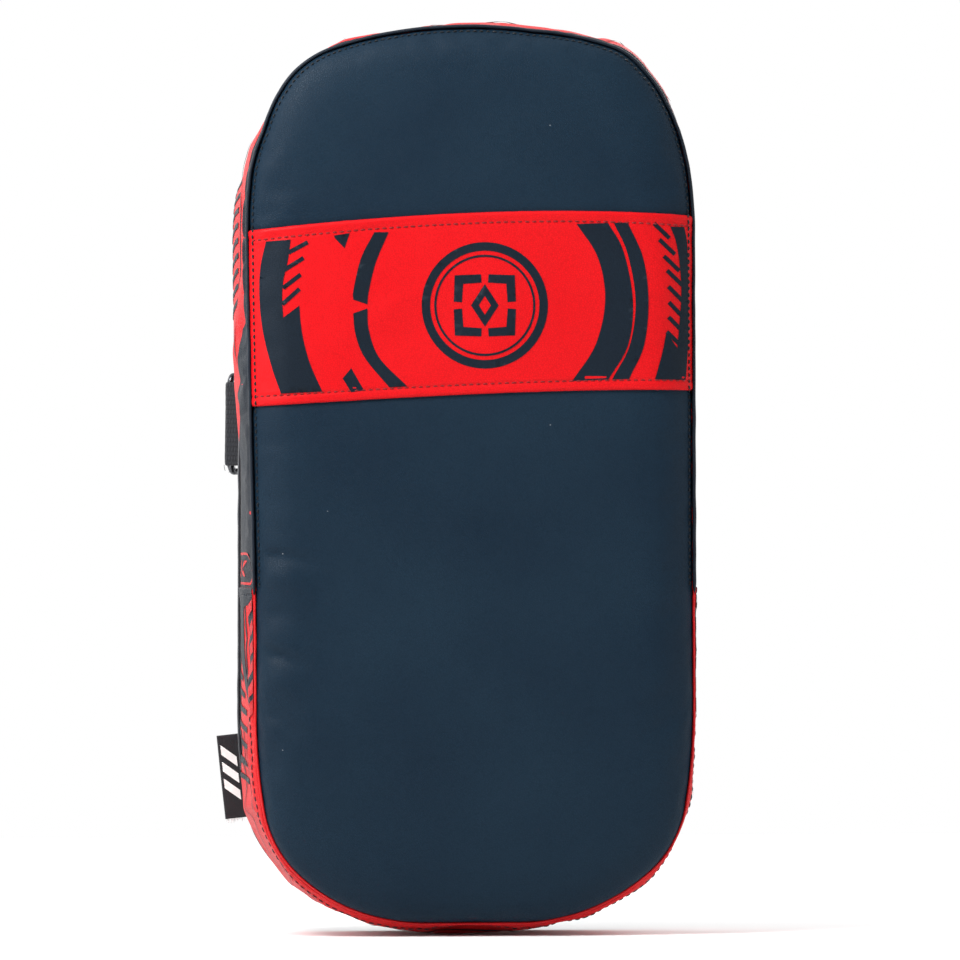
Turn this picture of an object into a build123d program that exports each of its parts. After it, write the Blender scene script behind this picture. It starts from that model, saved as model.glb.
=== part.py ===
from build123d import *
import math
import os

os.makedirs("parts", exist_ok=True)

# ---------------------------------------------------------------- frame
# X is the pad's width, Y its depth (strike face towards -Y), Z its height.
# The origin is the centre of the base of the whole object's box.
XC = 4.2       # pad centreline; the label and ring stand out on the left only
YC = -29.55    # pad mid-depth; handle and straps stand behind it
ZC = 6.0       # lower edge of the strike face, above the lowest point of the side wall

# ---------------------------------------------------------------- outline of the strike face
HALF_W = 99.5
HEIGHT = 400.0
FLAT = 20.0            # half of the flat strip at the lower end
R_BOTTOM = 90.0
R_LOW_CORNER = 50.0
R_LOW_SIDE = 250.0
W_LOW_SIDE = 95.0      # height where the lower curve meets the straight side
W_HIGH_SIDE = 308.0    # height where the straight side ends
R_HIGH_SIDE = 200.0
R_HIGH_CORNER = 45.0
R_TOP = 205.0

# ---------------------------------------------------------------- depth of the body
SEAM_FRONT = -43.5     # plane of the perimeter seam of the strike face
SEAM_REAR = 36.0       # plane of the rear seam
WALL = 1.6             # cover leather
BACK_T = 2.0
CROWN = [(-54.0, -24.0), (-53.0, -12.0), (-51.0, -5.3), (-48.0, -1.6), (-43.5, 0.0)]
CROWN_IN = [(-52.4, -25.0), (-51.4, -13.2), (-49.5, -7.0), (-47.0, -3.4), (-43.5, -1.7)]
SIDE = [(-43.5, 1.5), (-39.0, 3.8), (-29.0, 6.0), (22.0, 6.0), (32.0, 4.0), (36.0, 1.5)]
CORE = [(-52.3, -25.1), (-51.3, -13.4), (-49.4, -7.2), (-46.9, -3.6), (-43.5, -1.9),
        (-39.0, 2.1), (-29.0, 4.3), (22.0, 4.3), (32.0, 2.3), (36.0, -0.2)]
STRIKE_TO = -22.0      # rear face of the soft foam
CORE_TO = 8.0          # rear face of the dense foam
BOARD_FROM = 32.5      # front face of the stiff sheet

# ---------------------------------------------------------------- band and side joint
BAND_LOW = 234.5
BAND_HIGH = 313.5
BAND_TILT = 0.8        # degrees, the band rises towards +X
BAND_PROUD = 0.9
JOINT_W = 148.5        # height of the joint between the two side wall panels

# ---------------------------------------------------------------- back
BACK = SEAM_REAR + BACK_T          # outer face of the back panel
BIND_IN = -5.0
BIND_OUT = 2.5
BIND_T = 1.5
CUSHION_W = 108.0
CUSHION_LOW, CUSHION_HIGH = 26.0, 268.0
CUSHION_T = 12.0

# ---------------------------------------------------------------- straps
STRAP_W = 38.0
STRAP_T = 2.2
ARCH_X, ARCH_Y, ARCH_R = -22.0, 20.0, 85.5
ARCH_ENDS = {"upper": 148.0, "lower": 136.0}   # degrees, where each strap turns round its ring
RING_WIRE = 1.5                    # radius of the ring's wire
WRAP_R = 1.85                      # inner radius of the strap round the ring's bar
WRAP_DEG = 140.0       # how far the strap turns round the bar before its tongue starts
RING_PITCH = 12.0
LOOP_T, HOOK_T = 1.8, 1.6
TONGUE_DEG = 69.0
TAB_T = 2.0
STRAPS = {"upper": 223.8, "lower": 100.0}

# ---------------------------------------------------------------- handle
GRIP_W = 322.0
GRIP_Y = 97.0
GRIP_R = 17.0
GRIP_HALF = 59.0
CORE_R = 14.9
LEG_X = 74.0
WEB_W, WEB_T = 25.0, 3.0
BEND_R = 14.0
LEG_LOW = 47.5
STUB_HIGH = 43.6
FOOT_END = 91.0
RIVET_X, RIVET_W = 84.0, 7.0

# ---------------------------------------------------------------- label
LABEL_W = 65.0
LABEL_TALL, LABEL_LONG, LABEL_T = 38.0, 8.8, 1.0
LABEL_ROOT = -101.3
LABEL_LEAN = 6.2


def depth_plane(y):
    """Plane facing the front at a depth; local x is width, local y is height."""
    return Plane(origin=(XC, YC + y, ZC), x_dir=(1, 0, 0), z_dir=(0, -1, 0))


def level_plane(w):
    """Horizontal plane at a height; local x is width, local y is depth."""
    return Plane(origin=(XC, YC, ZC + w), x_dir=(1, 0, 0), z_dir=(0, 0, 1))


def inner_tangent(c1, r1, c2, r2, r, end):
    """Centre of the circle of radius r that touches two larger circles from inside, at the end nearest a height."""
    d1, d2 = r1 - r, r2 - r
    dx, dy = c2[0] - c1[0], c2[1] - c1[1]
    d = math.hypot(dx, dy)
    a = (d1 * d1 - d2 * d2 + d * d) / (2 * d)
    h = math.sqrt(d1 * d1 - a * a)
    mx, my = c1[0] + a * dx / d, c1[1] + a * dy / d
    both = [(mx - h * dy / d, my + h * dx / d), (mx + h * dy / d, my - h * dx / d)]
    return min(both, key=lambda p: abs(p[1] - end) - p[0])


C_BOTTOM = (FLAT, R_BOTTOM)
C_LOW_SIDE = (HALF_W - R_LOW_SIDE, W_LOW_SIDE)
C_LOW_CORNER = inner_tangent(C_LOW_SIDE, R_LOW_SIDE, C_BOTTOM, R_BOTTOM, R_LOW_CORNER, 0.0)
C_HIGH_SIDE = (HALF_W - R_HIGH_SIDE, W_HIGH_SIDE)
C_TOP = (0.0, HEIGHT - R_TOP)
C_HIGH_CORNER = inner_tangent(C_HIGH_SIDE, R_HIGH_SIDE, C_TOP, R_TOP, R_HIGH_CORNER, HEIGHT)


def towards(a, b):
    return math.degrees(math.atan2(b[1] - a[1], b[0] - a[0]))


A1 = towards(C_BOTTOM, C_LOW_CORNER)       # end of the bottom arc
A2 = towards(C_LOW_SIDE, C_LOW_CORNER)     # start of the lower side arc
A3 = towards(C_HIGH_SIDE, C_HIGH_CORNER)   # end of the upper side arc
A4 = towards(C_TOP, C_HIGH_CORNER)         # start of the top arc


def on(c, r, deg):
    return (c[0] + r * math.cos(math.radians(deg)), c[1] + r * math.sin(math.radians(deg)))


def outline_lines(d):
    """The strike face's outline, moved outwards by d, as arcs and lines in the current BuildLine."""
    arcs = [
        (C_BOTTOM, R_BOTTOM + d, -90.0, A1),
        (C_LOW_CORNER, R_LOW_CORNER + d, A1, A2),
        (C_LOW_SIDE, R_LOW_SIDE + d, A2, 0.0),
        (C_HIGH_SIDE, R_HIGH_SIDE + d, 0.0, A3),
        (C_HIGH_CORNER, R_HIGH_CORNER + d, A3, A4),
        (C_TOP, R_TOP + d, A4, 90.0),
    ]
    Line((-FLAT, -d), (FLAT, -d))
    for i, (c, r, a, b) in enumerate(arcs):
        if i == 3:
            Line((HALF_W + d, W_LOW_SIDE), (HALF_W + d, W_HIGH_SIDE))
        ThreePointArc(on(c, r, a), on(c, r, (a + b) / 2), on(c, r, b))
    for i, (c, r, a, b) in reversed(list(enumerate(arcs))):
        p, m, q = on(c, r, b), on(c, r, (a + b) / 2), on(c, r, a)
        ThreePointArc((-p[0], p[1]), (-m[0], m[1]), (-q[0], q[1]))
        if i == 3:
            Line((-HALF_W - d, W_HIGH_SIDE), (-HALF_W - d, W_LOW_SIDE))


def section(y, d):
    """The outline moved outwards by d, as a face at a depth."""
    with BuildSketch(depth_plane(y)) as face:
        with BuildLine():
            outline_lines(d)
        make_face()
    return face.sketch


# ================================================================ envelopes
# Closed bodies that the cover pieces and the foam layers are cut from.
with BuildPart() as crown_outer:
    loft([section(y, d) for y, d in CROWN], ruled=True)
with BuildPart() as crown_band:
    loft([section(y - BAND_PROUD, d + 0.6) if y < -44 else section(y, d) for y, d in CROWN], ruled=True)
with BuildPart() as crown_inner:
    loft([section(y, d) for y, d in CROWN_IN], ruled=True)
with BuildPart() as side_outer:
    loft([section(y, d) for y, d in SIDE], ruled=True)
with BuildPart() as side_inner:
    loft([section(y, d - WALL) for y, d in SIDE], ruled=True)
with BuildPart() as core_all:
    loft([section(y, d) for y, d in CORE], ruled=True)

# ================================================================ strike face cover
with BuildPart() as band_region:
    with BuildSketch(depth_plane(-40.0)):
        with BuildLine():
            t = math.tan(math.radians(BAND_TILT)) * 130
            Polyline((-130, BAND_LOW - t), (130, BAND_LOW + t), (130, BAND_HIGH + t), (-130, BAND_HIGH - t), close=True)
        make_face()
    extrude(amount=20)
with BuildPart() as above_band:
    with BuildSketch(depth_plane(-40.0)):
        with BuildLine():
            Polyline((-130, BAND_HIGH - t), (130, BAND_HIGH + t), (130, 430), (-130, 430), close=True)
        make_face()
    extrude(amount=20)
with BuildPart() as below_band:
    with BuildSketch(depth_plane(-40.0)):
        with BuildLine():
            Polyline((-130, -30), (130, -30), (130, BAND_LOW + t), (-130, BAND_LOW - t), close=True)
        make_face()
    extrude(amount=20)

with BuildPart() as front_panel_upper:
    add(crown_outer.part)
    add(crown_inner.part, mode=Mode.SUBTRACT)
    add(above_band.part, mode=Mode.INTERSECT)
with BuildPart() as front_band:
    add(crown_band.part)
    add(crown_inner.part, mode=Mode.SUBTRACT)
    add(band_region.part, mode=Mode.INTERSECT)
with BuildPart() as front_panel_lower:
    add(crown_outer.part)
    add(crown_inner.part, mode=Mode.SUBTRACT)
    add(below_band.part, mode=Mode.INTERSECT)

# Sewn lip round the strike face.
with BuildPart() as front_welt:
    with BuildSketch(depth_plane(SEAM_FRONT)):
        with BuildLine():
            outline_lines(2.3)
        make_face()
        with BuildLine():
            outline_lines(0.7)
        make_face(mode=Mode.SUBTRACT)
    extrude(amount=3.0)

# ================================================================ side wall
with BuildPart() as lower_half:
    with BuildSketch(depth_plane(60.0)):
        with Locations((0, JOINT_W - 100)):
            Rectangle(300, 200)
    extrude(amount=120)
with BuildPart() as gusset_upper:
    add(side_outer.part)
    add(side_inner.part, mode=Mode.SUBTRACT)
    add(lower_half.part, mode=Mode.SUBTRACT)
with BuildPart() as gusset_lower:
    add(side_outer.part)
    add(side_inner.part, mode=Mode.SUBTRACT)
    add(lower_half.part, mode=Mode.INTERSECT)

# ================================================================ back panel and binding
RIVETS = [(s * RIVET_X, GRIP_W + k * RIVET_W) for s in (-1, 1) for k in (-1, 1)]

with BuildPart() as back_panel:
    with BuildSketch(depth_plane(BACK)):
        with BuildLine():
            outline_lines(0.5)
        make_face()
        with Locations(*RIVETS):
            Circle(2.0, mode=Mode.SUBTRACT)
    extrude(amount=BACK_T)

with BuildPart() as rear_binding:
    with BuildSketch(depth_plane(BACK + BIND_T)):
        with BuildLine():
            outline_lines(BIND_OUT)
        make_face()
        with BuildLine():
            outline_lines(BIND_IN)
        make_face(mode=Mode.SUBTRACT)
    extrude(amount=BIND_T)
    with BuildSketch(depth_plane(BACK)):
        with BuildLine():
            outline_lines(BIND_OUT)
        make_face()
        with BuildLine():
            outline_lines(0.5)
        make_face(mode=Mode.SUBTRACT)
    extrude(amount=BACK_T)

# ================================================================ core layers
with BuildPart() as strike_foam:
    add(core_all.part)
    split(bisect_by=Plane(origin=(0, YC + STRIKE_TO, 0), z_dir=(0, -1, 0)), keep=Keep.TOP)
with BuildPart() as core_foam:
    add(core_all.part)
    split(bisect_by=Plane(origin=(0, YC + STRIKE_TO, 0), z_dir=(0, 1, 0)), keep=Keep.TOP)
    split(bisect_by=Plane(origin=(0, YC + CORE_TO, 0), z_dir=(0, -1, 0)), keep=Keep.TOP)
with BuildPart() as backing_foam:
    add(core_all.part)
    split(bisect_by=Plane(origin=(0, YC + CORE_TO, 0), z_dir=(0, 1, 0)), keep=Keep.TOP)
    split(bisect_by=Plane(origin=(0, YC + BOARD_FROM, 0), z_dir=(0, -1, 0)), keep=Keep.TOP)
    with BuildSketch(depth_plane(BOARD_FROM)):
        with Locations(*RIVETS):
            Circle(5.2)
    extrude(amount=1.4, mode=Mode.SUBTRACT)
with BuildPart() as backing_board:
    add(core_all.part)
    split(bisect_by=Plane(origin=(0, YC + BOARD_FROM, 0), z_dir=(0, 1, 0)), keep=Keep.TOP)
    with BuildSketch(depth_plane(SEAM_REAR)):
        with Locations(*RIVETS):
            Circle(2.0)
    extrude(amount=6.0, mode=Mode.SUBTRACT)

# ================================================================ forearm cushion
CUSHION_MID = (CUSHION_LOW + CUSHION_HIGH) / 2
CUSHION_TALL = CUSHION_HIGH - CUSHION_LOW
with BuildPart() as forearm_foam:
    with BuildSketch(depth_plane(BACK)):
        with Locations((0, CUSHION_MID)):
            RectangleRounded(CUSHION_W - 3, CUSHION_TALL - 3, 22.5)
    extrude(amount=-(CUSHION_T - 1.5))
    fillet(forearm_foam.faces().sort_by(Axis.Y)[-1].edges(), radius=4.5)
with BuildPart() as forearm_cover:
    with BuildSketch(depth_plane(BACK)):
        with Locations((0, CUSHION_MID)):
            RectangleRounded(CUSHION_W, CUSHION_TALL, 24)
    extrude(amount=-CUSHION_T)
    fillet(forearm_cover.faces().sort_by(Axis.Y)[-1].edges(), radius=6)
    add(forearm_foam.part, mode=Mode.SUBTRACT)

# ================================================================ handle
LEVEL = level_plane(GRIP_W - WEB_W / 2)
with BuildPart() as handle_webbing:
    # Webbing through the tube, down a leg at each end.
    with BuildSketch(LEVEL):
        with BuildLine():
            h = WEB_T / 2
            Polyline((-LEG_X - h, LEG_LOW), (-LEG_X - h, GRIP_Y - BEND_R))
            ThreePointArc((-LEG_X - h, GRIP_Y - BEND_R),
                          on((-LEG_X + BEND_R, GRIP_Y - BEND_R), BEND_R + h, 135),
                          (-LEG_X + BEND_R, GRIP_Y + h))
            Line((-LEG_X + BEND_R, GRIP_Y + h), (LEG_X - BEND_R, GRIP_Y + h))
            ThreePointArc((LEG_X - BEND_R, GRIP_Y + h),
                          on((LEG_X - BEND_R, GRIP_Y - BEND_R), BEND_R + h, 45),
                          (LEG_X + h, GRIP_Y - BEND_R))
            Polyline((LEG_X + h, GRIP_Y - BEND_R), (LEG_X + h, LEG_LOW), (LEG_X - h, LEG_LOW),
                     (LEG_X - h, GRIP_Y - BEND_R))
            ThreePointArc((LEG_X - h, GRIP_Y - BEND_R),
                          on((LEG_X - BEND_R, GRIP_Y - BEND_R), BEND_R - h, 45),
                          (LEG_X - BEND_R, GRIP_Y - h))
            Line((LEG_X - BEND_R, GRIP_Y - h), (-LEG_X + BEND_R, GRIP_Y - h))
            ThreePointArc((-LEG_X + BEND_R, GRIP_Y - h),
                          on((-LEG_X + BEND_R, GRIP_Y - BEND_R), BEND_R - h, 135),
                          (-LEG_X + h, GRIP_Y - BEND_R))
            Polyline((-LEG_X + h, GRIP_Y - BEND_R), (-LEG_X + h, LEG_LOW), (-LEG_X - h, LEG_LOW))
        make_face()
    extrude(amount=WEB_W)

GRIP_END = Plane(origin=(XC - GRIP_HALF, YC + GRIP_Y, ZC + GRIP_W), x_dir=(0, 1, 0), z_dir=(1, 0, 0))
with BuildPart() as handle_core:
    # Rubber tube with a slot that the webbing fills.
    with BuildSketch(GRIP_END.offset(1.5)):
        Circle(CORE_R)
        Rectangle(WEB_T, WEB_W, mode=Mode.SUBTRACT)
    extrude(amount=2 * GRIP_HALF - 3)
with BuildPart() as handle_wrap:
    # Leather sleeve with turned-in ends.
    with BuildSketch(GRIP_END):
        Circle(GRIP_R)
    extrude(amount=2 * GRIP_HALF)
    fillet(handle_wrap.edges().filter_by(GeomType.CIRCLE), radius=2.5)
    with BuildSketch(GRIP_END.offset(1.5)):
        Circle(CORE_R)
    extrude(amount=2 * GRIP_HALF - 3, mode=Mode.SUBTRACT)
    with BuildSketch(GRIP_END.offset(-1)):
        Rectangle(WEB_T, WEB_W)
    extrude(amount=2 * GRIP_HALF + 2, mode=Mode.SUBTRACT)

handle_feet = {}
handle_patches = {}
for name, side in (("left", -1), ("right", 1)):
    with BuildPart() as foot:
        # Sewn end of the webbing: a flat foot and a short stub that the leg flexes on.
        with BuildSketch(LEVEL):
            with BuildLine():
                Polyline((side * (LEG_X - h), BACK), (side * FOOT_END, BACK), (side * FOOT_END, BACK + WEB_T),
                         (side * (LEG_X + h), BACK + WEB_T), (side * (LEG_X + h), STUB_HIGH),
                         (side * (LEG_X - h), STUB_HIGH), close=True)
            make_face()
        extrude(amount=WEB_W)
        with BuildSketch(depth_plane(BACK + WEB_T + 1)):
            with Locations((side * RIVET_X, GRIP_W - RIVET_W), (side * RIVET_X, GRIP_W + RIVET_W)):
                Circle(2.0)
        extrude(amount=WEB_T + 2, mode=Mode.SUBTRACT)
    handle_feet[name] = foot
    with BuildPart() as patch:
        # Leather patch over the foot, on all sides of it.
        with BuildSketch(depth_plane(BACK)):
            with Locations((side * 79.2, GRIP_W)):
                RectangleRounded(25.6, 40, 4)
        extrude(amount=-(WEB_T + 1.6))
        fillet(patch.faces().sort_by(Axis.Y)[-1].edges(), radius=1.0)
        with BuildSketch(LEVEL):
            with BuildLine():
                Polyline((side * (LEG_X - h), BACK), (side * FOOT_END, BACK), (side * FOOT_END, BACK + WEB_T),
                         (side * (LEG_X + h), BACK + WEB_T), (side * (LEG_X + h), STUB_HIGH),
                         (side * (LEG_X - h), STUB_HIGH), close=True)
            make_face()
        extrude(amount=WEB_W, mode=Mode.SUBTRACT)
        with BuildSketch(depth_plane(BACK + 8)):
            with Locations((side * RIVET_X, GRIP_W - RIVET_W), (side * RIVET_X, GRIP_W + RIVET_W)):
                Circle(2.0)
        extrude(amount=10, mode=Mode.SUBTRACT)
    handle_patches[name] = patch

with BuildPart() as handle_rivets:
    # Shank, domed head outside and set washer behind the board, four times.
    head_y = BACK + WEB_T + 1.6
    with BuildSketch(depth_plane(head_y)):
        with Locations(*RIVETS):
            Circle(2.0)
    extrude(amount=head_y - BOARD_FROM + 1.2)
    with BuildSketch(depth_plane(head_y + 1.8)):
        with Locations(*RIVETS):
            Circle(4.5)
    extrude(amount=1.8)
    fillet(handle_rivets.faces().sort_by(Axis.Y)[-4:].edges(), radius=1.2)
    with BuildSketch(depth_plane(BOARD_FROM)):
        with Locations(*RIVETS):
            Circle(5.0)
    extrude(amount=1.2)

# ================================================================ forearm straps
ARCH_C = (ARCH_X, ARCH_Y)
R1 = ARCH_R + STRAP_T                    # outer face of the arch
R2 = R1 + 2 * WRAP_R                     # inner face of the tongue
R3 = R2 + STRAP_T                        # outer face of the tongue
ARCH_START = math.degrees(math.asin((BACK + STRAP_T - ARCH_Y) / R1)) - 2.0


def sector(c, r_in, r_out, a, b):
    """Closed outline of a curved strip between two radii and two angles."""
    ThreePointArc(on(c, r_in, a), on(c, r_in, (a + b) / 2), on(c, r_in, b))
    Line(on(c, r_in, b), on(c, r_out, b))
    ThreePointArc(on(c, r_out, b), on(c, r_out, (a + b) / 2), on(c, r_out, a))
    Line(on(c, r_out, a), on(c, r_in, a))


FOOT_IN = ARCH_X + math.sqrt(ARCH_R ** 2 - (BACK - ARCH_Y) ** 2)
straps = {}
for name, mid in STRAPS.items():
    arch_end = ARCH_ENDS[name]
    bar_out = on(ARCH_C, R1 + WRAP_R, arch_end)
    bar_in = (bar_out[0] + RING_PITCH * math.cos(math.radians(arch_end + 90)),
              bar_out[1] + RING_PITCH * math.sin(math.radians(arch_end + 90)))
    hinge_deg = arch_end - math.degrees(1.7 / (R2 + STRAP_T / 2))
    tongue_hinge = on(ARCH_C, R2 + STRAP_T / 2, hinge_deg)
    print(name, "tongue hinge", tongue_hinge, "ring bars", bar_out, bar_in)
    low = level_plane(mid - STRAP_W / 2)
    with BuildPart() as strap:
        # Sewn foot on the right, arch over the forearm, turn round the ring's outer bar.
        with BuildSketch(low):
            with BuildLine():
                sector(ARCH_C, ARCH_R, R1, ARCH_START, arch_end)
            make_face()
            with BuildLine():
                a = on(ARCH_C, ARCH_R, ARCH_START + 2)
                Polyline((FOOT_IN, BACK), (90, BACK), (90, BACK + STRAP_T),
                         (on(ARCH_C, R1, ARCH_START + 2)[0], BACK + STRAP_T), a, close=True)
            make_face()
            with BuildLine():
                sector(bar_out, WRAP_R, WRAP_R + STRAP_T, arch_end + 180 - WRAP_DEG, arch_end + 180)
            make_face()
            with BuildLine():
                Polyline((40, BACK - 12), (100, BACK - 12), (100, BACK), (40, BACK), close=True)
            make_face(mode=Mode.SUBTRACT)
        extrude(amount=STRAP_W)
    straps[name + "_strap"] = strap
    with BuildPart() as strap_patch:
        # Leather patch over the strap's sewn foot.
        with BuildSketch(depth_plane(BACK)):
            with Locations((78.5, mid)):
                RectangleRounded(27, STRAP_W + 14, 4)
        extrude(amount=-(STRAP_T + 1.5))
        fillet(strap_patch.faces().sort_by(Axis.Y)[-1].edges(), radius=1.0)
        with BuildSketch(low):
            with BuildLine():
                Polyline((60, BACK), (90, BACK), (90, BACK + STRAP_T), (60, BACK + STRAP_T), close=True)
            make_face()
        extrude(amount=STRAP_W, mode=Mode.SUBTRACT)
    straps[name + "_strap_patch"] = strap_patch
    with BuildPart() as loop_patch:
        # Loop pile sewn on the outside of the arch.
        with BuildSketch(level_plane(mid - STRAP_W / 2 + 0.5)):
            with BuildLine():
                sector(ARCH_C, R1, R1 + LOOP_T, 52, arch_end - 5)
            make_face()
        extrude(amount=STRAP_W - 1)
    straps[name + "_loop_patch"] = loop_patch
    with BuildPart() as tongue:
        # Free end of the strap, folded back over the arch.
        with BuildSketch(low):
            with BuildLine():
                sector(ARCH_C, R2, R3, hinge_deg - TONGUE_DEG, hinge_deg)
            make_face()
            with Locations(tongue_hinge):
                Circle(STRAP_T / 2)
        extrude(amount=STRAP_W)
    straps[name + "_tongue"] = tongue
    with BuildPart() as hook_patch:
        # Hook tape sewn under the tongue.
        with BuildSketch(level_plane(mid - STRAP_W / 2 + 0.5)):
            with BuildLine():
                sector(ARCH_C, R2 - HOOK_T, R2, hinge_deg - TONGUE_DEG + 2, hinge_deg - 16)
            make_face()
        extrude(amount=STRAP_W - 1)
    straps[name + "_hook_patch"] = hook_patch
    with BuildPart() as ring:
        # Rectangular wire ring: two long bars and two short ones, with bent corners.
        d = (math.cos(math.radians(arch_end + 90)), math.sin(math.radians(arch_end + 90)))
        ring_plane = Plane(origin=(XC + (bar_out[0] + bar_in[0]) / 2, YC + (bar_out[1] + bar_in[1]) / 2, ZC + mid),
                           x_dir=(d[0], d[1], 0), z_dir=(d[1], -d[0], 0))
        half = STRAP_W / 2 + 1.2 + RING_WIRE
        k = 3.0
        p = RING_PITCH / 2
        q = math.sqrt(0.5) * k
        with BuildLine(ring_plane) as path:
            Line((-p, 0), (-p, half - k))
            ThreePointArc((-p, half - k), (-p + k - q, half - k + q), (-p + k, half))
            Line((-p + k, half), (p - k, half))
            ThreePointArc((p - k, half), (p - k + q, half - k + q), (p, half - k))
            Line((p, half - k), (p, -half + k))
            ThreePointArc((p, -half + k), (p - k + q, -half + k - q), (p - k, -half))
            Line((p - k, -half), (-p + k, -half))
            ThreePointArc((-p + k, -half), (-p + k - q, -half + k - q), (-p, -half + k))
            Line((-p, -half + k), (-p, 0))
        start = ring_plane.from_local_coords(Vector(-p, 0, 0))
        with BuildSketch(Plane(origin=start, z_dir=(0, 0, 1))):
            Circle(RING_WIRE)
        sweep(path=path.wires()[0])
    straps[name + "_ring"] = ring
    with BuildPart() as tab:
        # Doubled webbing round the ring's inner bar, sewn flat on the back.
        with BuildSketch(low):
            with Locations(bar_in):
                Circle(WRAP_R + TAB_T)
            with BuildLine():
                foot = (-88.0, BACK + TAB_T)
                leg = Vector(foot[0] - bar_in[0], foot[1] - bar_in[1])
                n = Vector(-leg.Y, leg.X).normalized() * TAB_T
                end = 0.93
                Polyline((bar_in[0] + n.X, bar_in[1] + n.Y),
                         (bar_in[0] + end * leg.X + n.X, bar_in[1] + end * leg.Y + n.Y),
                         (bar_in[0] + end * leg.X - n.X, bar_in[1] + end * leg.Y - n.Y),
                         (bar_in[0] - n.X, bar_in[1] - n.Y), close=True)
            make_face()
            with BuildLine():
                Polyline((-90.5, BACK), (-62, BACK), (-62, BACK + 2 * TAB_T), (-90.5, BACK + 2 * TAB_T), close=True)
            make_face()
            with Locations(bar_in):
                Circle(WRAP_R, mode=Mode.SUBTRACT)
        extrude(amount=STRAP_W)
    straps[name + "_ring_tab"] = tab
    with BuildPart() as tab_patch:
        # Leather patch over the tab's sewn foot.
        with BuildSketch(depth_plane(BACK)):
            with Locations((-71.5, mid)):
                RectangleRounded(27, STRAP_W + 14, 4)
        extrude(amount=-(2 * TAB_T + 1.5))
        fillet(tab_patch.faces().sort_by(Axis.Y)[-1].edges(), radius=1.0)
        with BuildSketch(low):
            with BuildLine():
                Polyline((-90, BACK), (-62, BACK), (-62, BACK + 2 * TAB_T), (-90, BACK + 2 * TAB_T), close=True)
            make_face()
        extrude(amount=STRAP_W, mode=Mode.SUBTRACT)
    straps[name + "_tab_patch"] = tab_patch

# ================================================================ label
LEAN = math.radians(LABEL_LEAN)
label_plane = Plane(origin=(XC + LABEL_ROOT, YC + SEAM_REAR + 1.0, ZC + LABEL_W),
                    x_dir=(-math.cos(LEAN), 0, -math.sin(LEAN)), z_dir=(0, 1, 0))
with BuildPart() as side_label:
    # Folded woven flag that stands out of the rear seam; its root is rounded for the bend.
    with BuildSketch(Plane(origin=label_plane.origin - Vector(-math.sin(LEAN), 0, math.cos(LEAN)) * (LABEL_TALL / 2),
                           x_dir=(-math.cos(LEAN), 0, -math.sin(LEAN)),
                           z_dir=(-math.sin(LEAN), 0, math.cos(LEAN)))):
        with BuildLine():
            Polyline((0, -LABEL_T / 2), (LABEL_LONG, -LABEL_T / 2), (LABEL_LONG, LABEL_T / 2), (0, LABEL_T / 2), close=True)
        make_face()
        Circle(LABEL_T / 2)
    extrude(amount=LABEL_TALL)

# ================================================================ write
pieces = {
    "front_panel_upper": front_panel_upper,
    "front_band": front_band,
    "front_panel_lower": front_panel_lower,
    "front_welt": front_welt,
    "gusset_upper": gusset_upper,
    "gusset_lower": gusset_lower,
    "back_panel": back_panel,
    "rear_binding": rear_binding,
    "strike_foam": strike_foam,
    "core_foam": core_foam,
    "backing_foam": backing_foam,
    "backing_board": backing_board,
    "forearm_foam": forearm_foam,
    "forearm_cover": forearm_cover,
    "handle_core": handle_core,
    "handle_wrap": handle_wrap,
    "handle_webbing": handle_webbing,
    "handle_foot_left": handle_feet["left"],
    "handle_foot_right": handle_feet["right"],
    "handle_patch_left": handle_patches["left"],
    "handle_patch_right": handle_patches["right"],
    "handle_rivets": handle_rivets,
    "side_label": side_label,
    **straps,
}
for node, piece in pieces.items():
    piece.part.label = node
    export_step(piece.part, f"parts/{node}.step")

print("handle hinge", YC + (LEG_LOW + STUB_HIGH) / 2, ZC + GRIP_W)
print("label hinge", tuple(label_plane.origin))
print("corner centres", C_LOW_CORNER, C_HIGH_CORNER, A1, A2, A3, A4)
boxes = [piece.part.bounding_box() for piece in pieces.values()]
print("box", [round(min(getattr(b.min, c) for b in boxes), 3) for c in "XYZ"],
      [round(max(getattr(b.max, c) for b in boxes), 3) for c in "XYZ"])
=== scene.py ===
import math

import bmesh
import bpy
import numpy as np
from mathutils import Matrix, Vector, noise
from mathutils.bvhtree import BVHTree
from mathutils.geometry import delaunay_2d_cdt


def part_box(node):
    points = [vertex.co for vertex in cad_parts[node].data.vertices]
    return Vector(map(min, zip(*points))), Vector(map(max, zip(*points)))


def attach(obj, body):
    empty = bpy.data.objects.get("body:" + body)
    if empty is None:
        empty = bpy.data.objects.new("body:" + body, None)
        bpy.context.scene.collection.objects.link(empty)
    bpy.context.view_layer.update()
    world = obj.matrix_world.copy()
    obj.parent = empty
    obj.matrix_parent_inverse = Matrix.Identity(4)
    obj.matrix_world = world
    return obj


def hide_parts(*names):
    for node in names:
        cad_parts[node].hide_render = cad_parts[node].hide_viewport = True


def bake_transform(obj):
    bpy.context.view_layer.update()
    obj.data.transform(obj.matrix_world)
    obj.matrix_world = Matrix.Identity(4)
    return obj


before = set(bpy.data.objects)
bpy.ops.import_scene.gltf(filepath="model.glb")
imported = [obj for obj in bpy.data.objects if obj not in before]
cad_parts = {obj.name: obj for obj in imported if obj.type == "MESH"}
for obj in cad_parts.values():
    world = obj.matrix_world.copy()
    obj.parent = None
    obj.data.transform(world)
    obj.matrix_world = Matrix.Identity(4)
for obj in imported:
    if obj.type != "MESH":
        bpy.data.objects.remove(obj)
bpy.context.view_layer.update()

RNG = np.random.default_rng(7)

# ================================================================ pad frame
# Everything below is in millimetres in the pad's own frame: x width, y depth, w height.
lo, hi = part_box("back_panel")
ORIGIN = np.array([(lo.x + hi.x) / 2 * 1000, hi.y * 1000 - 38.0, lo.z * 1000 + 0.5])


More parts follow.
